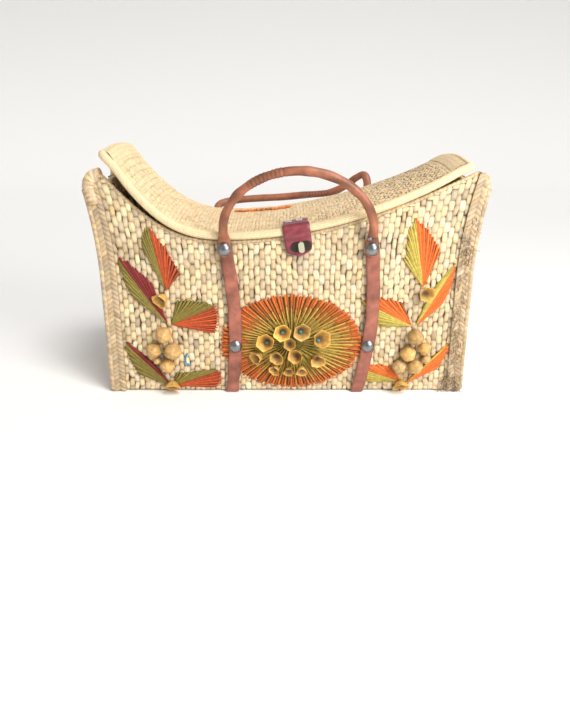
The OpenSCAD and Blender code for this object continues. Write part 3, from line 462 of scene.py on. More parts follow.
def binding_piece(name, sx, sy, node, tint):
    b = Build()
    flip = sx * sy > 0

    def top(w):
        w = np.clip(w, 0, None)
        return rim_z(sx * (1 - 2 * w / EAR_LEN)) - ear_drop(w) - 1

    def front(u, z, out):
        z = np.clip(z, FLOOR_Z, top(BRAID_W / 2 * (1 - u)))
        hl = half_len(z)
        x = hl - BRAID_W / 2 * (1 - u)
        return np.stack([sx * x, sy * (half_depth(x, z) + BINDING_SEAT + out), z + 0 * x], -1)

    def end(u, z, out):
        z = np.clip(z, FLOOR_Z, EAR_Z - EAR_R - 1)
        hl = half_len(z)
        y = half_depth(hl, z) - BRAID_W / 2 * (1 - u)
        return np.stack([sx * (hl + BINDING_SEAT + out), sy * y, z + 0 * u], -1)

    z = np.linspace(FLOOR_Z, EAR_Z - 1, 40)[:, None]
    u = np.array([-1, -0.98, -0.5, 0, 0.5, 1.1])[None]
    lift = np.array([-1.2, 1.8, 2, 2, 2, 2.2])[None]
    # Painted shade: a dark strip under each braid, seen between its strands
    b.grid(front(u + 0 * z, z + 0 * u, lift), tint * 0.45, not flip)
    b.grid(end(u + 0 * z, z + 0 * u, lift), tint * 0.45, flip)
    braid(b, lambda u, v, out: front(u, v, out + BRAID_LIFT), EAR_Z - 1, BRAID_PITCH, tint, BRAID_HIGH,
          flip=not flip)
    braid(b, lambda u, v, out: end(u, v, out + BRAID_LIFT), EAR_Z - 1, BRAID_PITCH, tint, BRAID_HIGH,
          flip=flip, start=3.0)
    h = np.linspace(3.8, EAR_Z - EAR_R - 2, 40)
    hl = half_len(h)
    path = np.stack([sx * (hl + 1.9), sy * (half_depth(hl, h) + 1.9), h], -1)
    wrapped(b, path, 3.6, tint, 8.0, ref=(0, 1, 0))
    turn = np.linspace(-0.5, 1, 12) * np.pi / 2
    d, h = EAR_R * (1 - np.cos(np.clip(turn, 0, 2))), EAR_Z - EAR_R + EAR_R * np.sin(turn)
    roll_r, drop, inset, reach = EAR_ROLL[sx]
    h = np.where(turn < 0, EAR_Z - EAR_R + 20 * turn, h) - drop
    x = half_len(h) - np.minimum(d, reach) - inset
    path = np.stack([sx * x, sy * (half_depth(x, h) - 1), h], -1)
    wrapped(b, path, roll_r, tint * 1.25, 5.0, 0.16, ref=(0, 1, 0))
    if (sx, sy) == (1, -1):
        fray(b, front, tint)
    return b.object(name, STRAW, "bag", "braid_straw", [node])


binding_piece("front left braid", -1, -1, "front_left_binding", BRAID_TINT)
binding_piece("front right braid", 1, -1, "front_right_binding", BRAID_TINT * 0.9)
binding_piece("back left braid", -1, 1, "back_left_binding", BRAID_TINT)
binding_piece("back right braid", 1, 1, "back_right_binding", BRAID_TINT * 1.1)

# Lid: a fine weave that darkens to the right, over a backing of painted shade, with holes between its strands painted
# as dark spots of shade, and a smooth band at each end
LID_TINT = STRAW_TINT * np.array([1.04, 1.02, 0.98])
# The colour of painted shade in the lid's holes
HOLE_SHADE = np.array([0.11, 0.05, 0.025])
LID_COLS, LID_ROWS, HOLE_ROWS, HOLE_COLS = 92, 26, 23, 78
BAND_LEFT, BAND_RIGHT = 0.03, 0.06
b = Build()
s = np.linspace(-LID_SHARE, LID_SHARE, 61)[None]
t = np.linspace(0, 1, 19)[:, None]
# Painted shade: the backing under the lid's strands, darker to the right
dark = np.clip(0.35 + 0.5 * s / LID_SHARE, 0, 0.8)[..., None]
backing = (LID_TINT * 0.75 * (1 - dark) + GAP_SHADE * dark) + 0 * t[..., None]
shell(b, lid_point(s, t, LID_T - 0.4), lid_point(s, t, 0.4), backing, False)
cells = []
for j in range(LID_COLS):
    phase = (0.5 * (j % 2) + 0.13 * j + 0.18 * rng.standard_normal()) % 1
    at_s = LID_SHARE * (-1 + (2 * j + 1) / LID_COLS)
    for i in range(LID_ROWS + 1):
        t0, t1 = (i - phase) / LID_ROWS, (i + 1 - phase) / LID_ROWS
        t0, t1 = max(t0, 0.0), min(t1, 1.0)
        if t1 - t0 > 0.01:
            cells.append((at_s, (t0 + t1) / 2, LID_SHARE / LID_COLS, (t1 - t0) / 2))
bricks(b, cells, lambda s, t, out: lid_point(s, np.clip(t, 0, 1), LID_T + out), LID_TINT, 0.5, 0.3,
       fill=(1.1, 1.06), steps=(5, 5), flip=True, spread=0.07, taper=0.4, jitter=0.09, ends=0.08, edge=0.06)
bricks(b, cells, lambda s, t, out: lid_point(s, np.clip(t, 0, 1), 0.5 - out), LID_TINT * 0.85, 0.4, 0.5,
       fill=(1.0, 1.0), steps=(3, 3))
# Painted shade: dark six-sided spots where the lid's strands part, larger and darker to the right
i, j = np.meshgrid(np.arange(HOLE_ROWS), np.arange(HOLE_COLS), indexing="ij")
hole_s = (LID_SHARE * (-0.95 + 1.86 * (j + 0.5 * (i % 2)) / HOLE_COLS) + 0.003 * rng.standard_normal(i.shape)).ravel()
hole_t = (0.03 + 0.94 * (i + 0.35 * rng.standard_normal(i.shape) * 0.4) / HOLE_ROWS).ravel()
deep = np.clip(0.45 + 0.75 * hole_s / LID_SHARE, 0.12, 1)
keep = rng.random(len(deep)) < 0.3 + 0.62 * deep
hole_s, hole_t, deep = (v[keep][:, None, None] for v in (hole_s, hole_t, deep))
a = np.linspace(0, 2 * np.pi, 6, endpoint=False)[None, None]
size = np.array([0.05, 1.0])[None, :, None] * (0.55 + 0.5 * deep) * rng.uniform(0.7, 1.25, deep.shape)
holes = lid_point(hole_s + 0.0046 * size * np.cos(a), hole_t + 0.0115 * size * np.sin(a), LID_T + 0.62)
tone = (1 - 0.75 * deep[..., None]) * LID_TINT * 0.75 + 0.75 * deep[..., None] * HOLE_SHADE
b.grids(holes, np.broadcast_to(tone, holes.shape), True, True)
for side, width in ((-1, BAND_LEFT), (1, BAND_RIGHT)):
    f = np.linspace(0, 1, 10)[None]
    t = np.linspace(0, 1, 40)[:, None]
    lines = 1 + 0.05 * np.random.default_rng(8).standard_normal((40, 10, 1))
    lines = lines - 0.12 * (np.arange(10) % 3 == 0)[None, :, None]
    lift = LID_T + 1.5 * np.sin(np.pi * np.clip(f * 0.8 + 0.1, 0, 1)) ** 0.5
    b.grid(lid_point(side * (LID_SHARE - width * (1 - f)), t, lift), LID_TINT * 1.04 * lines, side > 0)
b.object("lid weave", LID_STRAW, "lid", "lid_straw", ["lid_panel"])

# The lid's rolled edge, along its front and both ends
roll_out, roll_lift = ROLL_R + 0.6, ROLL_R + 0.3
CORNER_IN, ROLL_STOPS = 1.5, (0.05, 0.2, 0.4, 0.6, 0.8, 1)


def roll_front(s):
    return lid_point(s, 0.0, roll_lift) - np.array([0, roll_out, 0])


def roll_end(side, t):
    return lid_point(side * LID_SHARE, t, roll_lift) + np.array([side * roll_out, 0, 0])


roll = ([roll_end(-1, t) for t in ROLL_STOPS[::-1]]
        + [roll_end(-1, 0) + np.array([CORNER_IN, -roll_out + CORNER_IN, 0])]
        + [roll_front(s) for s in np.linspace(-LID_SHARE + 0.03, LID_SHARE - 0.03, 36)]
        + [roll_end(1, 0) + np.array([-CORNER_IN, -roll_out + CORNER_IN, 0])]
        + [roll_end(1, t) for t in ROLL_STOPS])
b = Build()
corded(b, roll, ROLL_R + 0.2, LID_TINT * 1.12)
b.object("lid roll", STRAW, "lid", "braid_straw", ["lid_binding"])

OLIVE = np.array([0.30, 0.235, 0.045])
ORANGE = np.array([0.56, 0.12, 0.018])
DARN_TINT = np.array([0.68, 0.21, 0.05])
# The darn's run along the lid, its place across it and half its width, as shares of the lid
DARN_FROM, DARN_TO, DARN_AT, DARN_SPAN, DARN_COUNT = -0.3, 0.02, 0.7, 0.022, 30
b = Build()
for i in range(DARN_COUNT):
    f = DARN_FROM + (DARN_TO - DARN_FROM) * i / (DARN_COUNT - 1)
    mid = DARN_AT + 0.004 * rng.standard_normal()
    span = DARN_SPAN * (0.8 + 0.4 * rng.random())
    ends = [lid_point(f + 0.012 * (k - 0.5), mid + span * (2 * k - 1), LID_T + 1.4 + 1.2 * math.sin(math.pi * k))
            for k in np.linspace(0, 1, 6)]
    tube(b, ends, 1.3, tints(1, DARN_TINT, 0.15)[0], 6, (0, 0, 1), 1.6, 0.7)
b.object("lid darn", RAFFIA, "lid", "orange_raffia", ["lid_darn"])


# Leather: straps, handles and the closure tab
def leather_tint(n, sides, base, seed):
    """Worn leather: soft blotches along and round a piece."""
    local = np.random.default_rng(seed)
    along = np.linspace(0, 1, n)[:, None]
    round_ = np.linspace(0, 2 * np.pi, sides, endpoint=False)[None]
    f = sum(local.normal(0, 0.075) * np.cos(2 * np.pi * k * along + local.uniform(0, 6.3) + (k % 3) * round_)
            for k in range(1, 12))
    return np.clip(np.asarray(base) * (1 + f)[..., None], 0.01, 0.9)


TAN = np.array([0.32, 0.115, 0.06])
ROSE = np.array([0.34, 0.115, 0.075])
STRAP_SIDES, STRAP_FOOT_Z = 20, 1.5


def strap_piece(name, top_x, shift, bow, top_z, side, node, seed):
    b = Build()
    f = np.linspace(0, 1, 70)
    z = STRAP_FOOT_Z + (top_z - STRAP_FOOT_Z) * f
    x = top_x + shift * (1 - f) + bow * np.sin(np.pi * f)
    path = wall(x, z, STRAP_SEAT + STRAP_T / 2, side)
    a = np.linspace(0, 2 * np.pi, STRAP_SIDES, endpoint=False)
    ca, sa = np.cos(a), np.sin(a)
    ca, sa = np.sign(ca) * np.abs(ca) ** 0.45, np.sign(sa) * np.abs(sa) ** 0.6
    wave = 0.25 * np.sin(z / 9 + seed) + 0.15 * np.sin(z / 4.1 + 2 * seed)
    flat = 0 * wave[:, None]
    section = np.stack([(STRAP_W / 2 + wave[:, None]) * ca[None], side * STRAP_T / 2 * sa[None] + flat,
                        flat * ca[None]], -1)
    ring = path[:, None] + section
    tint = leather_tint(len(z), STRAP_SIDES, ROSE, seed) * (1 - 0.35 * np.abs(ca) ** 6)[None, :, None]
    b.grid(ring, tint, side < 0, True)
    for end, flip in ((0, False), (-1, True)):
        cap = np.stack([np.repeat(ring[end].mean(0)[None], STRAP_SIDES, 0), ring[end]])
        b.grid(cap, tint[end][None].repeat(2, 0), flip ^ (side < 0), True)
    return b.object(name, LEATHER, "bag", "tan_leather", [node])


strap_piece("front left strap", HANDLE_X - SPAN / 2, 2, 9, RIVET_Z + FOOT_LOW, -1, "front_left_strap", 3)
strap_piece("front right strap", HANDLE_X + SPAN / 2, -8, 9, RIVET_Z + FOOT_LOW, -1, "front_right_strap", 5)
strap_piece("back left strap", BACK_X - BACK_SPAN / 2, 0, 0, BACK_RIVET_Z + FOOT_LOW, 1, "back_left_strap", 7)
strap_piece("back right strap", BACK_X + BACK_SPAN / 2, 0, 0, BACK_RIVET_Z + FOOT_LOW, 1, "back_right_strap", 9)


HANDLE_STEP, HANDLE_SIDES, CRIMP_PITCH = 1.6, 18, 4.8


def handle_piece(name, arch, feet, side, nodes, crimp, flat, seed, ref):
    """One strap of leather: a flat foot, the bend, the rolled arch and the other foot.

    crimp lists the stretches with ridges, and flat those that are pressed flat, as shares of its length.
    """
    def foot(x, z):
        return [wall(x, z + h, FOOT_SEAT + STRAP_T / 2, side) for h in np.linspace(-FOOT_LOW, FOOT_UP - 2, 5)]

    path = resample(np.array(foot(*feet[0]) + list(arch) + foot(*feet[1])[::-1]), HANDLE_STEP)
    n, sides = len(path), HANDLE_SIDES
    run = np.arange(n) * HANDLE_STEP
    edge = np.minimum(run, run[-1] - run)
    blend = np.clip((edge - FOOT_LOW - FOOT_UP + 8) / 14, 0, 1)
    blend = blend * blend * (3 - 2 * blend)
    tip = np.sqrt(np.clip(1 - (1 - np.clip(edge / 7, 0, 1)) ** 2, 0.02, 1))
    wide = (FOOT_W / 2 * tip) * (1 - blend) + HANDLE_R * blend
    thick = STRAP_T / 2 * (1 - blend) + HANDLE_R * blend
    share = run / run[-1]
    for low, high, w, h in flat:
        k = np.clip(np.minimum(share - low, high - share) / 0.04, 0, 1)
        wide, thick = wide * (1 - k) + w * k, thick * (1 - k) + h * k
    ridges = np.zeros(n)
    for low, high in crimp:
        k = np.clip(np.minimum(share - low, high - share) / 0.015, 0, 1)
        ridges += k * (0.5 - 0.5 * np.cos(2 * np.pi * run / CRIMP_PITCH))
    local = np.random.default_rng(seed)
    lumps = sum(local.normal(0, 0.012) * np.cos(2 * np.pi * k * share + local.uniform(0, 6.3))
                for k in range(3, 20))
    a = np.linspace(0, 2 * np.pi, sides, endpoint=False)
    seam = np.exp(-((a - np.pi) / 0.22) ** 2)[None] * blend[:, None] * 0.1
    r = (1 + lumps * blend - 0.13 * ridges)[:, None] - seam
    tint = leather_tint(n, sides, TAN, seed)
    # Painted shade: darker in the crimp's grooves; the seam along the arch is darker too
    tint = tint * (1 - 0.5 * ridges[:, None, None]) * (1 - 3.0 * seam[..., None])
    b = Build()
    tube(b, path, r, tint, sides, ref, wide, thick)
    return b.object(name, LEATHER, None, "tan_leather", nodes)


bend_z = RIVET_Z + FOOT_UP + HANDLE_R + BEND_GAP
bend_y = -float(half_depth(0, RIVET_Z + FOOT_UP)) - FOOT_SEAT - BEND_OUT
angles = np.linspace(0, np.pi, 27)
arch = [(HANDLE_X - SPAN / 2 * math.cos(a), bend_y - HANDLE_LEAN * math.sin(a), bend_z + RISE * math.sin(a))
        for a in angles]
feet = ((HANDLE_X - SPAN / 2, RIVET_Z), (HANDLE_X + SPAN / 2, RIVET_Z))
front_handle = handle_piece("front handle leather", arch, feet, -1, ["front_handle", "front_handle_feet"],
                            [(0.30, 0.46)], [], 21, (0, 1, 0))
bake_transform(front_handle)

back_bend_z = BACK_RIVET_Z + FOOT_UP + HANDLE_R + BEND_GAP
back_bend_y = float(half_depth(0, BACK_RIVET_Z + FOOT_UP)) + FOOT_SEAT + BEND_OUT
# The back handle's route from each foot's bend, as in the part's source
left = [[0, 0, 0], [-0.5, 1.5, 4], [-4, 9, 11], [-12, 26, 20], [-6, 40, 26], [16, 50, 29], [50, 55, 31], [90, 56, 33]]
right = [[-84, 56, 36], [-44, 53, 40], [-18, 49, 51], [-4, 44, 63], [8, 38, 69], [13, 30, 58], [10, 22, 38],
         [4, 11, 18], [0.5, 1.5, 4], [0, 0, 0]]
ends = (BACK_X - BACK_SPAN / 2, BACK_X + BACK_SPAN / 2)
arch = [np.array(p) + (ends[0], back_bend_y, back_bend_z) for p in left]
arch += [np.array(p) + (ends[1], back_bend_y, back_bend_z) for p in right]
feet = ((ends[0], BACK_RIVET_Z), (ends[1], BACK_RIVET_Z))
back_handle = handle_piece("back handle leather", arch, feet, 1, ["back_handle", "back_handle_feet"],
                           [(0.50, 0.60)], [(0.64, 0.88, 6.2, 3.4)], 23, (0.1, 1, -0.9))
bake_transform(back_handle)

# Closure tab: a strip from the lid over the rolled edge and down the front, rounded at its foot
TAB_ROUND = 14
BURGUNDY = np.array([0.25, 0.045, 0.06])
roll_y = float(roll_front(0.0)[1])
tab_share = TAB_X / float(half_len(RIM_Z))
roll_z = float(roll_front(tab_share)[2])
slope = roll_front(tab_share + 0.05) - roll_front(tab_share - 0.05)
tilt = math.atan2(slope[2], slope[0])
tab_r = ROLL_R * 1.06 + 0.9
tab_path = [(roll_y + TAB_BACK + ROLL_R - f, roll_z + tab_r) for f in np.linspace(0, TAB_BACK + ROLL_R, 8)[:-1]]
tab_path += [(roll_y - tab_r * math.sin(a), roll_z + tab_r * math.cos(a)) for a in np.linspace(0, np.pi / 2, 9)]
tab_path += [(roll_y - tab_r, z) for z in np.linspace(roll_z, TAB_FOOT_Z, 22)[1:]]
tab_path = np.array(tab_path)
step = np.gradient(tab_path, axis=0)
normal = np.stack([step[:, 1], -step[:, 0]], 1)
normal /= np.linalg.norm(normal, axis=1, keepdims=True)
low_z = tab_path[:, 1] - TAB_FOOT_Z
arc = np.sqrt(np.clip(1 - (1 - np.clip(low_z, 0.05, TAB_ROUND) / TAB_ROUND) ** 2, 0, 1))
half = TAB_W / 2 * np.where(low_z < TAB_ROUND, arc * 0.6 + 0.4 * np.clip(low_z / 5, 0, 1), 1)
half = np.where(tab_path[:, 0] > roll_y, half * 0.92, half)
u = np.linspace(-1, 1, 15)
crown = np.clip((1 - np.abs(u)) / 0.08, 0, 1) ** 0.5
b = Build()
rows = []
for face in (1, 0):
    out = (TAB_T * (0.55 + 0.45 * crown) if face else 0 * crown)
    y = tab_path[:, 0, None] + normal[:, 0, None] * out[None]
    z = tab_path[:, 1, None] + normal[:, 1, None] * out[None]
    dx, dz = half[:, None] * u[None] + 0 * y, z - roll_z
    rows.append(np.stack([TAB_X + dx * math.cos(tilt) - dz * math.sin(tilt), y,
                          roll_z + dx * math.sin(tilt) + dz * math.cos(tilt)], -1))
mottle = leather_tint(len(tab_path), len(u), BURGUNDY, 31)
shell(b, rows[0], rows[1], BURGUNDY * 0.6, False)
flat = 0 * rows[0][..., 0]
skin = np.stack([flat, normal[:, None, 0] * 0.05 + flat, normal[:, None, 1] * 0.05 + flat], -1)
b.grid(rows[0] + skin, mottle * (0.75 + 0.25 * crown)[None, :, None])
b.object("closure tab leather", LEATHER, "lid", "tab_leather", ["closure_tab"])

# Raffia: each fan as its base, the olive half's corner, the tip and the orange half's corner, in x and z
FANS = {
    "left_crown": [[-152, 144], [-179, 198], [-169, 222], [-132, 166]],
    "left_wing": [[-154, 101], [-197, 137], [-210, 184], [-169, 152]],
    "left_fan": [[-149, 99], [-140, 132], [-90, 125], [-93, 86]],
    "left_low_wing": [[-157, 9], [-202, 27], [-212, 75], [-179, 44]],
    "left_low_fan": [[-155, 9], [-150, 27], [-90, 33], [-96, 5]],
    "right_crown": [[172, 148], [146, 180], [156, 233], [191, 193]],
    "right_wing": [[167, 97], [182, 140], [211, 177], [201, 128]],
    "right_fan": [[162, 97], [122, 96], [93, 133], [147, 130]],
    "right_low_wing": [[162, 13], [190, 45], [213, 72], [204, 36]],
    "right_low_fan": [[155, 16], [109, 14], [95, 38], [139, 39]],
}
FAN_COUNT, SUN_COUNT, BACKING_LIFT = 11, 132, 0.15
DARK_RED = np.array([0.22, 0.02, 0.01])
BLEND = 0.4 * ORANGE + 0.6 * OLIVE


def thread(build, p0, p1, r, tint, low=0.0, flat=0.8):
    """One stitch of raffia on the front, from p0 to p1 in x and z; r and tint may be pairs for its two ends."""
    k = np.linspace(0, 1, 9)
    p = np.asarray(p0)[None] * (1 - k[:, None]) + np.asarray(p1)[None] * k[:, None]
    out = RAFFIA_SEAT + low + 0.9 - 1.5 * (np.abs(2 * k - 1) ** 8)
    r0, r1 = np.broadcast_to(r, 2)
    c0, c1 = np.broadcast_to(tint, (2, 3))
    colour = c0[None] * (1 - k[:, None]) + c1[None] * k[:, None]
    radius = (r0 + (r1 - r0) * k) * np.where((k == 0) | (k == 1), 0.6, 1.0)
    tube(build, wall(p[:, 0], p[:, 1], out), radius, colour[:, None].repeat(6, 1), 6, (0, 1, 0), 1.0, flat)


def fan_threads(build, base, a, b, count, tint):
    """Half a fan: threads from base to the line from a to b, bowed outwards, over a dark backing of painted shade that
    shows between them.
    """
    base, a, b = (np.array(p, float) for p in (base, a, b))
    width = np.linalg.norm(b - a) / count
    back = []
    for i in range(count + 1):
        p = a + (b - a) * i / count
        p = base + (p - base) * (0.93 + 0.4 * i / count * (1 - i / count))
        back.append(base + (p - base) * np.linspace(0.04, 1, 6)[:, None])
    back = np.array(back)
    clockwise = bool(np.cross(a - base, b - base) < 0)
    # Painted shade: the dark backing seen between the threads
    build.grid(wall(back[..., 0], back[..., 1], RAFFIA_SEAT + BACKING_LIFT), tint * 0.2, clockwise)
    radii = (min(max(0.25 * width, 0.5), 0.9), min(max(0.42 * width, 0.7), 1.7))
    for i in range(count):
        f = (i + 0.5) / count
        p = a + (b - a) * f
        p = p + (p - base) * (0.4 * f * (1 - f) + 0.02 * rng.standard_normal() - 0.02)
        start = base + (p - base) * 0.05 * rng.random()
        shade = tints(1, tint * (1.12 if i % 2 else 0.84), 0.1)[0]
        thread(build, start, p, radii, shade, 0.4 * (i % 2) + 0.2 * rng.random())


olive, orange = Build(), Build()
for name, (base, corner_o, tip, corner_r) in FANS.items():
    right = name.startswith("right")
    red = ORANGE * (1.25 if right else np.array([0.85, 0.66, 1]))
    if name in ("left_wing", "left_low_wing"):
        red = DARK_RED
    fan_threads(olive, base, corner_o, tip, FAN_COUNT, OLIVE * (1.65 if right else 0.8))
    fan_threads(orange, base, tip, corner_r, FAN_COUNT, red)
# Painted shade: a dark backing under the sunburst's threads, seen between them
a = np.linspace(0, 2 * np.pi, 72, endpoint=False)[None]
f = np.linspace(0.04, 0.96, 10)[:, None]
olive.grid(wall(SUN_X + SUN_A * f * np.cos(a), SUN_Z + SUN_B * f * np.sin(a), RAFFIA_SEAT + BACKING_LIFT), OLIVE * 0.35,
           False, True)
for i in range(SUN_COUNT):
    a = 2 * math.pi * (i + 0.15 * rng.standard_normal()) / SUN_COUNT
    reach = 1 + 0.015 * rng.standard_normal()
    core = (0.80 if i % 2 else 0.62) + 0.1 * math.cos(a) - 0.08 * max(math.sin(a), 0) + 0.04 * rng.standard_normal()
    at = lambda f: (SUN_X + SUN_A * f * math.cos(a), SUN_Z + SUN_B * f * math.sin(a))
    low, light = 0.4 * (i % 2), (1.2 if i % 2 else 0.82) * (1 + 0.1 * rng.standard_normal())
    first, core_r = 0.06 + 0.12 * (i % 4), 0.3 + 1.3 * core
    thread(olive, at(first), at(core + 0.03), (0.35 + 1.2 * first, core_r),
           (OLIVE * light * 1.45, (OLIVE + BLEND) / 2 * light * 1.25), low, 1.2)
    thread(orange, at(core), at(reach), (core_r, 1.75),
           ((0.3 * OLIVE + 0.7 * ORANGE) * light, ORANGE * light), low, 1.0)
olive.object("olive stitches", RAFFIA, "bag", "olive_raffia", [f"{n}_olive" for n in FANS] + ["sunburst_olive"])
orange.object("orange stitches", RAFFIA, "bag", "orange_raffia", [f"{n}_orange" for n in FANS] + ["sunburst_orange"])

# The short blue end, on the route of its solid
BLUE_ROUTE, BLUE_SEAT, BLUE_R = [(-131, 58), (-134, 53), (-135, 47), (-133, 42), (-128, 40)], 2.5, 1
BLUE_TINT = (0.03, 0.27, 0.50)
b = Build()
blue = resample([wall(x, z, BLUE_SEAT) for x, z in BLUE_ROUTE], 1.2)
tube(b, blue, BLUE_R, BLUE_TINT, 8, (0, 1, 0))
b.object("blue thread", RAFFIA, "bag", "blue_raffia", ["blue_raffia"])

# Pods, dry open cups with six-sided rims, and closed nuts: x, z and radius, as in the part's source
SUN_PODS = [[-25, 77, 12], [-5, 91, 11.5], [18, 92, 11.5], [41, 80, 12.5], [-35, 57, 9.5], [-12, 57, 9.5],
            [16, 57, 10.5], [40, 54, 10], [3, 37, 7.5], [20, 38, 8], [-14, 38, 7.5], [4, 73, 8.5]]
# The pods that face the viewer; the others tip at random
FACING = (0, 1, 2, 3, 11)
CROWN_PODS = [[-156, 136, 10], [174, 140, 10]]
END_PODS = [[-154, 14, 11.5], [154, 15, 12]]
LEFT_NUTS = [[-159, 87, 10.5], [-174, 65, 10], [-149, 64, 11], [-172, 48, 5], [-158, 42, 9.3]]
RIGHT_NUTS = [[167, 84, 10.5], [181, 67, 8.5], [160, 60, 10], [150, 41, 9.2], [171, 41, 10], [185, 51, 6.3]]
# Height of a pod's solid, as a share of its radius
POD_RISE = 1.25
# How far pods on raffia and pieces on bare straw stand out from the mat
RAFFIA_STAND, STRAW_STAND = 4.1, 1.5
# A pod from its foot over the rim to its inner floor: radius, height, share of the six-sided form and shade
POD_PROFILE = [(0.02, 0, 0, 0.6), (0.40, 0.02, 0, 0.7), (0.62, 0.25, 0.2, 0.85), (0.80, 0.55, 0.5, 0.95),
               (0.95, 0.85, 0.9, 1.05), (1.06, 1.0, 1, 1.3), (1.01, 0.99, 1, 1.25), (0.86, 0.74, 0.8, 1.0),
               (0.64, 0.46, 0.5, 0.75), (0.34, 0.3, 0, 0.3), (0.02, 0.27, 0, 0.06)]
POD_TINT = np.array([0.66, 0.39, 0.10])
NUT_TINT = np.array([0.63, 0.39, 0.14])


def pod(build, x, z, r, seat, lean=(0.0, 0.0), tall=1.1):
    """An open six-sided bowl; lean tips it sideways and up, in radians."""
    a = np.linspace(0, 2 * np.pi, 36, endpoint=False)
    phase = rng.uniform(0, 6.3)
    six = math.cos(math.pi / 6) / np.cos((a + phase) % (math.pi / 3) - math.pi / 6)
    lean = np.array(lean) + rng.normal(0, 0.07, 2)
    angle = max(float(np.linalg.norm(lean)), 1e-6)
    d = lean / angle
    tone = tints(1, POD_TINT, 0.1, 0.08)[0]
    ring, colour = [], []
    for f, g, w, c in POD_PROFILE:
        rr = r * f * (1 - w * (1 - six)) * (1 + 0.04 * np.cos(2 * a + phase))
        px, pz, up = rr * np.cos(a), rr * np.sin(a), tall * r * g * (1 + 0.05 * w * np.cos(3 * a + 2 * phase))
        along, tip_by = px * d[0] + pz * d[1], angle * min(1, 0.3 + g)
        shift = along * math.cos(tip_by) + up * math.sin(angle) - along
        rise = up * math.cos(angle) - along * math.sin(tip_by) + 0.35 * r * math.sin(angle) * min(1, 2 * g)
        out = float(half_depth(x, z)) + seat + np.clip(rise, 0, POD_RISE * r)
        ring.append(np.stack([x + px + shift * d[0], -out, np.maximum(z + pz + shift * d[1], 0.5)], -1))
        colour.append(np.clip(tone * c * (1 + 0.9 * w * (six[:, None] - 0.93)), 0.01, 0.9))
    build.grid(np.array(ring), np.array(colour), False, True)


def nut(build, x, z, r, seat):
    """A closed seed, a little faceted, with painted shade: darker towards the wall, lightest at its crest."""
    a = np.linspace(0, 2 * np.pi, 30, endpoint=False)
    tone, phase = tints(1, NUT_TINT, 0.1, 0.08)[0], rng.uniform(0, 6.3)
    base_y = -float(half_depth(x, z)) - seat
    ring, colour = [], []
    for k in np.linspace(-0.72, 1, 13):
        lumps = 1 + 0.035 * np.cos(5 * a + phase) + 0.03 * np.cos(3 * a - phase + 2 * k)
        rr = r * math.sqrt(max(1 - k * k, 0.0004)) * lumps
        up = r * (k + 0.75) + 0.05 * r * np.cos(2 * a + phase) * (1 - abs(k))
        ring.append(np.stack([x + rr * np.cos(a), base_y - up, z + rr * np.sin(a)], -1))
        # Painted shade: darker towards the wall, lighter towards the crest
        shade = (0.6 + 0.45 * (k + 0.72) / 1.72)
        colour.append(np.clip(tone * shade * (1 + 0.12 * np.cos(5 * a + phase))[:, None], 0.01, 0.9))
    build.grid(np.array(ring), np.array(colour), False, True)


b = Build()
for i, (x, z, r) in enumerate(SUN_PODS):
    if i in FACING:
        lean = ((x - SUN_X) / 130, 0.2)
    else:
        lean = ((x - SUN_X) / 110 + rng.normal(0, 0.25), rng.normal(-0.3, 0.2))
    pod(b, x, z, r, RAFFIA_STAND, lean)
for x, z, r in CROWN_PODS:
    pod(b, x, z, r, STRAW_STAND, (-0.35, -0.2) if x < 0 else (0.3, 0.15))
for x, z, r in END_PODS:
    pod(b, x, z, r, RAFFIA_STAND, (0.05, -0.75), 0.6)
b.object("seed pods", POD, "bag", "seed_pod", ["sunburst_pods", "crown_pods", "end_pods"])
b = Build()
for x, z, r in LEFT_NUTS + RIGHT_NUTS:
    nut(b, x, z, r, STRAW_STAND)
b.object("seed nuts", POD, "bag", "seed_pod", ["left_nuts", "right_nuts"])

# Fittings that keep their exact solids
HINGE_STRAW = material("hinge straw", 0.65, colour=tuple(STRAW_TINT * 0.8), streak=0.2, scale=400)
FINISH = {SILVER: ["front_rivets", "back_rivets", "small_rivet"], STAPLE: ["tab_staples"],
          BRONZE: ["lock_plate", "lock_keeper"], KNOB: ["lock_knob"], BEAD: ["pod_beads"],
          HINGE_STRAW: ["hinge_cord", "hinge_loops"]}
for finish, names in FINISH.items():
    for name in names:
        node = NODES[name]
        node.data.materials.clear()
        node.data.materials.append(finish)

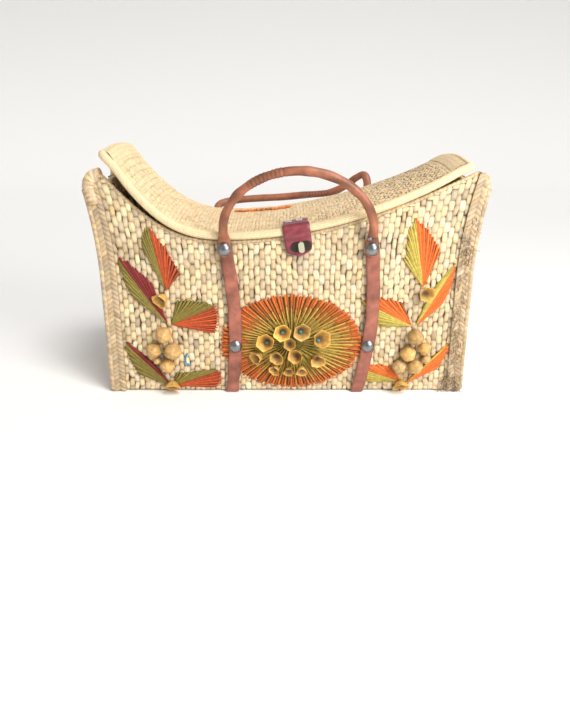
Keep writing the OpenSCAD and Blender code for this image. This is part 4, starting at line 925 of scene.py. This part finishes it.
# Stage: floor, light and camera
scene = bpy.context.scene
floor_mesh = bpy.data.meshes.new("floor")
bend = [(1.8 + math.sin(a), 1 - math.cos(a)) for a in np.linspace(0.1, math.pi / 2, 14)]
sweep = [(-5, 0), (1.8, 0)] + bend + [(2.8, 5)]
points = [(x, y, z) for y, z in sweep for x in (-7, 7)]
floor_mesh.from_pydata(points, [], [(2 * i, 2 * i + 1, 2 * i + 3, 2 * i + 2) for i in range(len(sweep) - 1)])
floor_mesh.polygons.foreach_set("use_smooth", [True] * len(floor_mesh.polygons))
floor = bpy.data.objects.new("floor", floor_mesh)
bpy.context.collection.objects.link(floor)
floor_mesh.materials.append(material("floor", 0.9, colour=(0.93, 0.925, 0.92)))


def area_light(name, place, aim, size, power, colour=(1, 1, 1)):
    lamp = bpy.data.lights.new(name, "AREA")
    lamp.size, lamp.energy, lamp.color = size, power, colour
    made = bpy.data.objects.new(name, lamp)
    bpy.context.collection.objects.link(made)
    d = np.array(aim) - np.array(place)
    made.location = place
    made.rotation_euler = (math.atan2(math.hypot(d[0], d[1]), -d[2]), 0, math.atan2(d[1], d[0]) - math.pi / 2)


sun = bpy.data.lights.new("sun", "SUN")
sun.energy, sun.angle, sun.color = 1.7, 0.4, (1, 0.98, 0.95)
lamp = bpy.data.objects.new("sun", sun)
bpy.context.collection.objects.link(lamp)
lamp.rotation_euler = (math.radians(30), 0, math.radians(50))
area_light("key", (0.75, -0.8, 0.7), (0.1, 0, 0.13), 0.5, 11, (1, 0.97, 0.93))
area_light("fill", (-1.1, -1.0, 0.8), (0, 0, 0.1), 1.0, 1, (1, 0.95, 0.92))
world = bpy.data.worlds.new("world")
world.use_nodes = True
world.node_tree.nodes["Background"].inputs["Color"].default_value = (1, 1, 1, 1)
world.node_tree.nodes["Background"].inputs["Strength"].default_value = 0.36
scene.world = world
scene.view_settings.view_transform = "Standard"

# The photograph's height and the camera's focal length, both in pixels
PHOTO_HEIGHT, FOCAL = 728, 550
lens = bpy.data.cameras.new("camera")
lens.sensor_fit, lens.sensor_height, lens.lens = "VERTICAL", 36, FOCAL / PHOTO_HEIGHT * 36
lens.clip_start = 0.01
camera = bpy.data.objects.new("camera", lens)
bpy.context.collection.objects.link(camera)
camera.location = (-0.002, -0.757, 0.365)
camera.rotation_euler = (math.radians(90 - 26), 0, 0)
scene.camera = camera
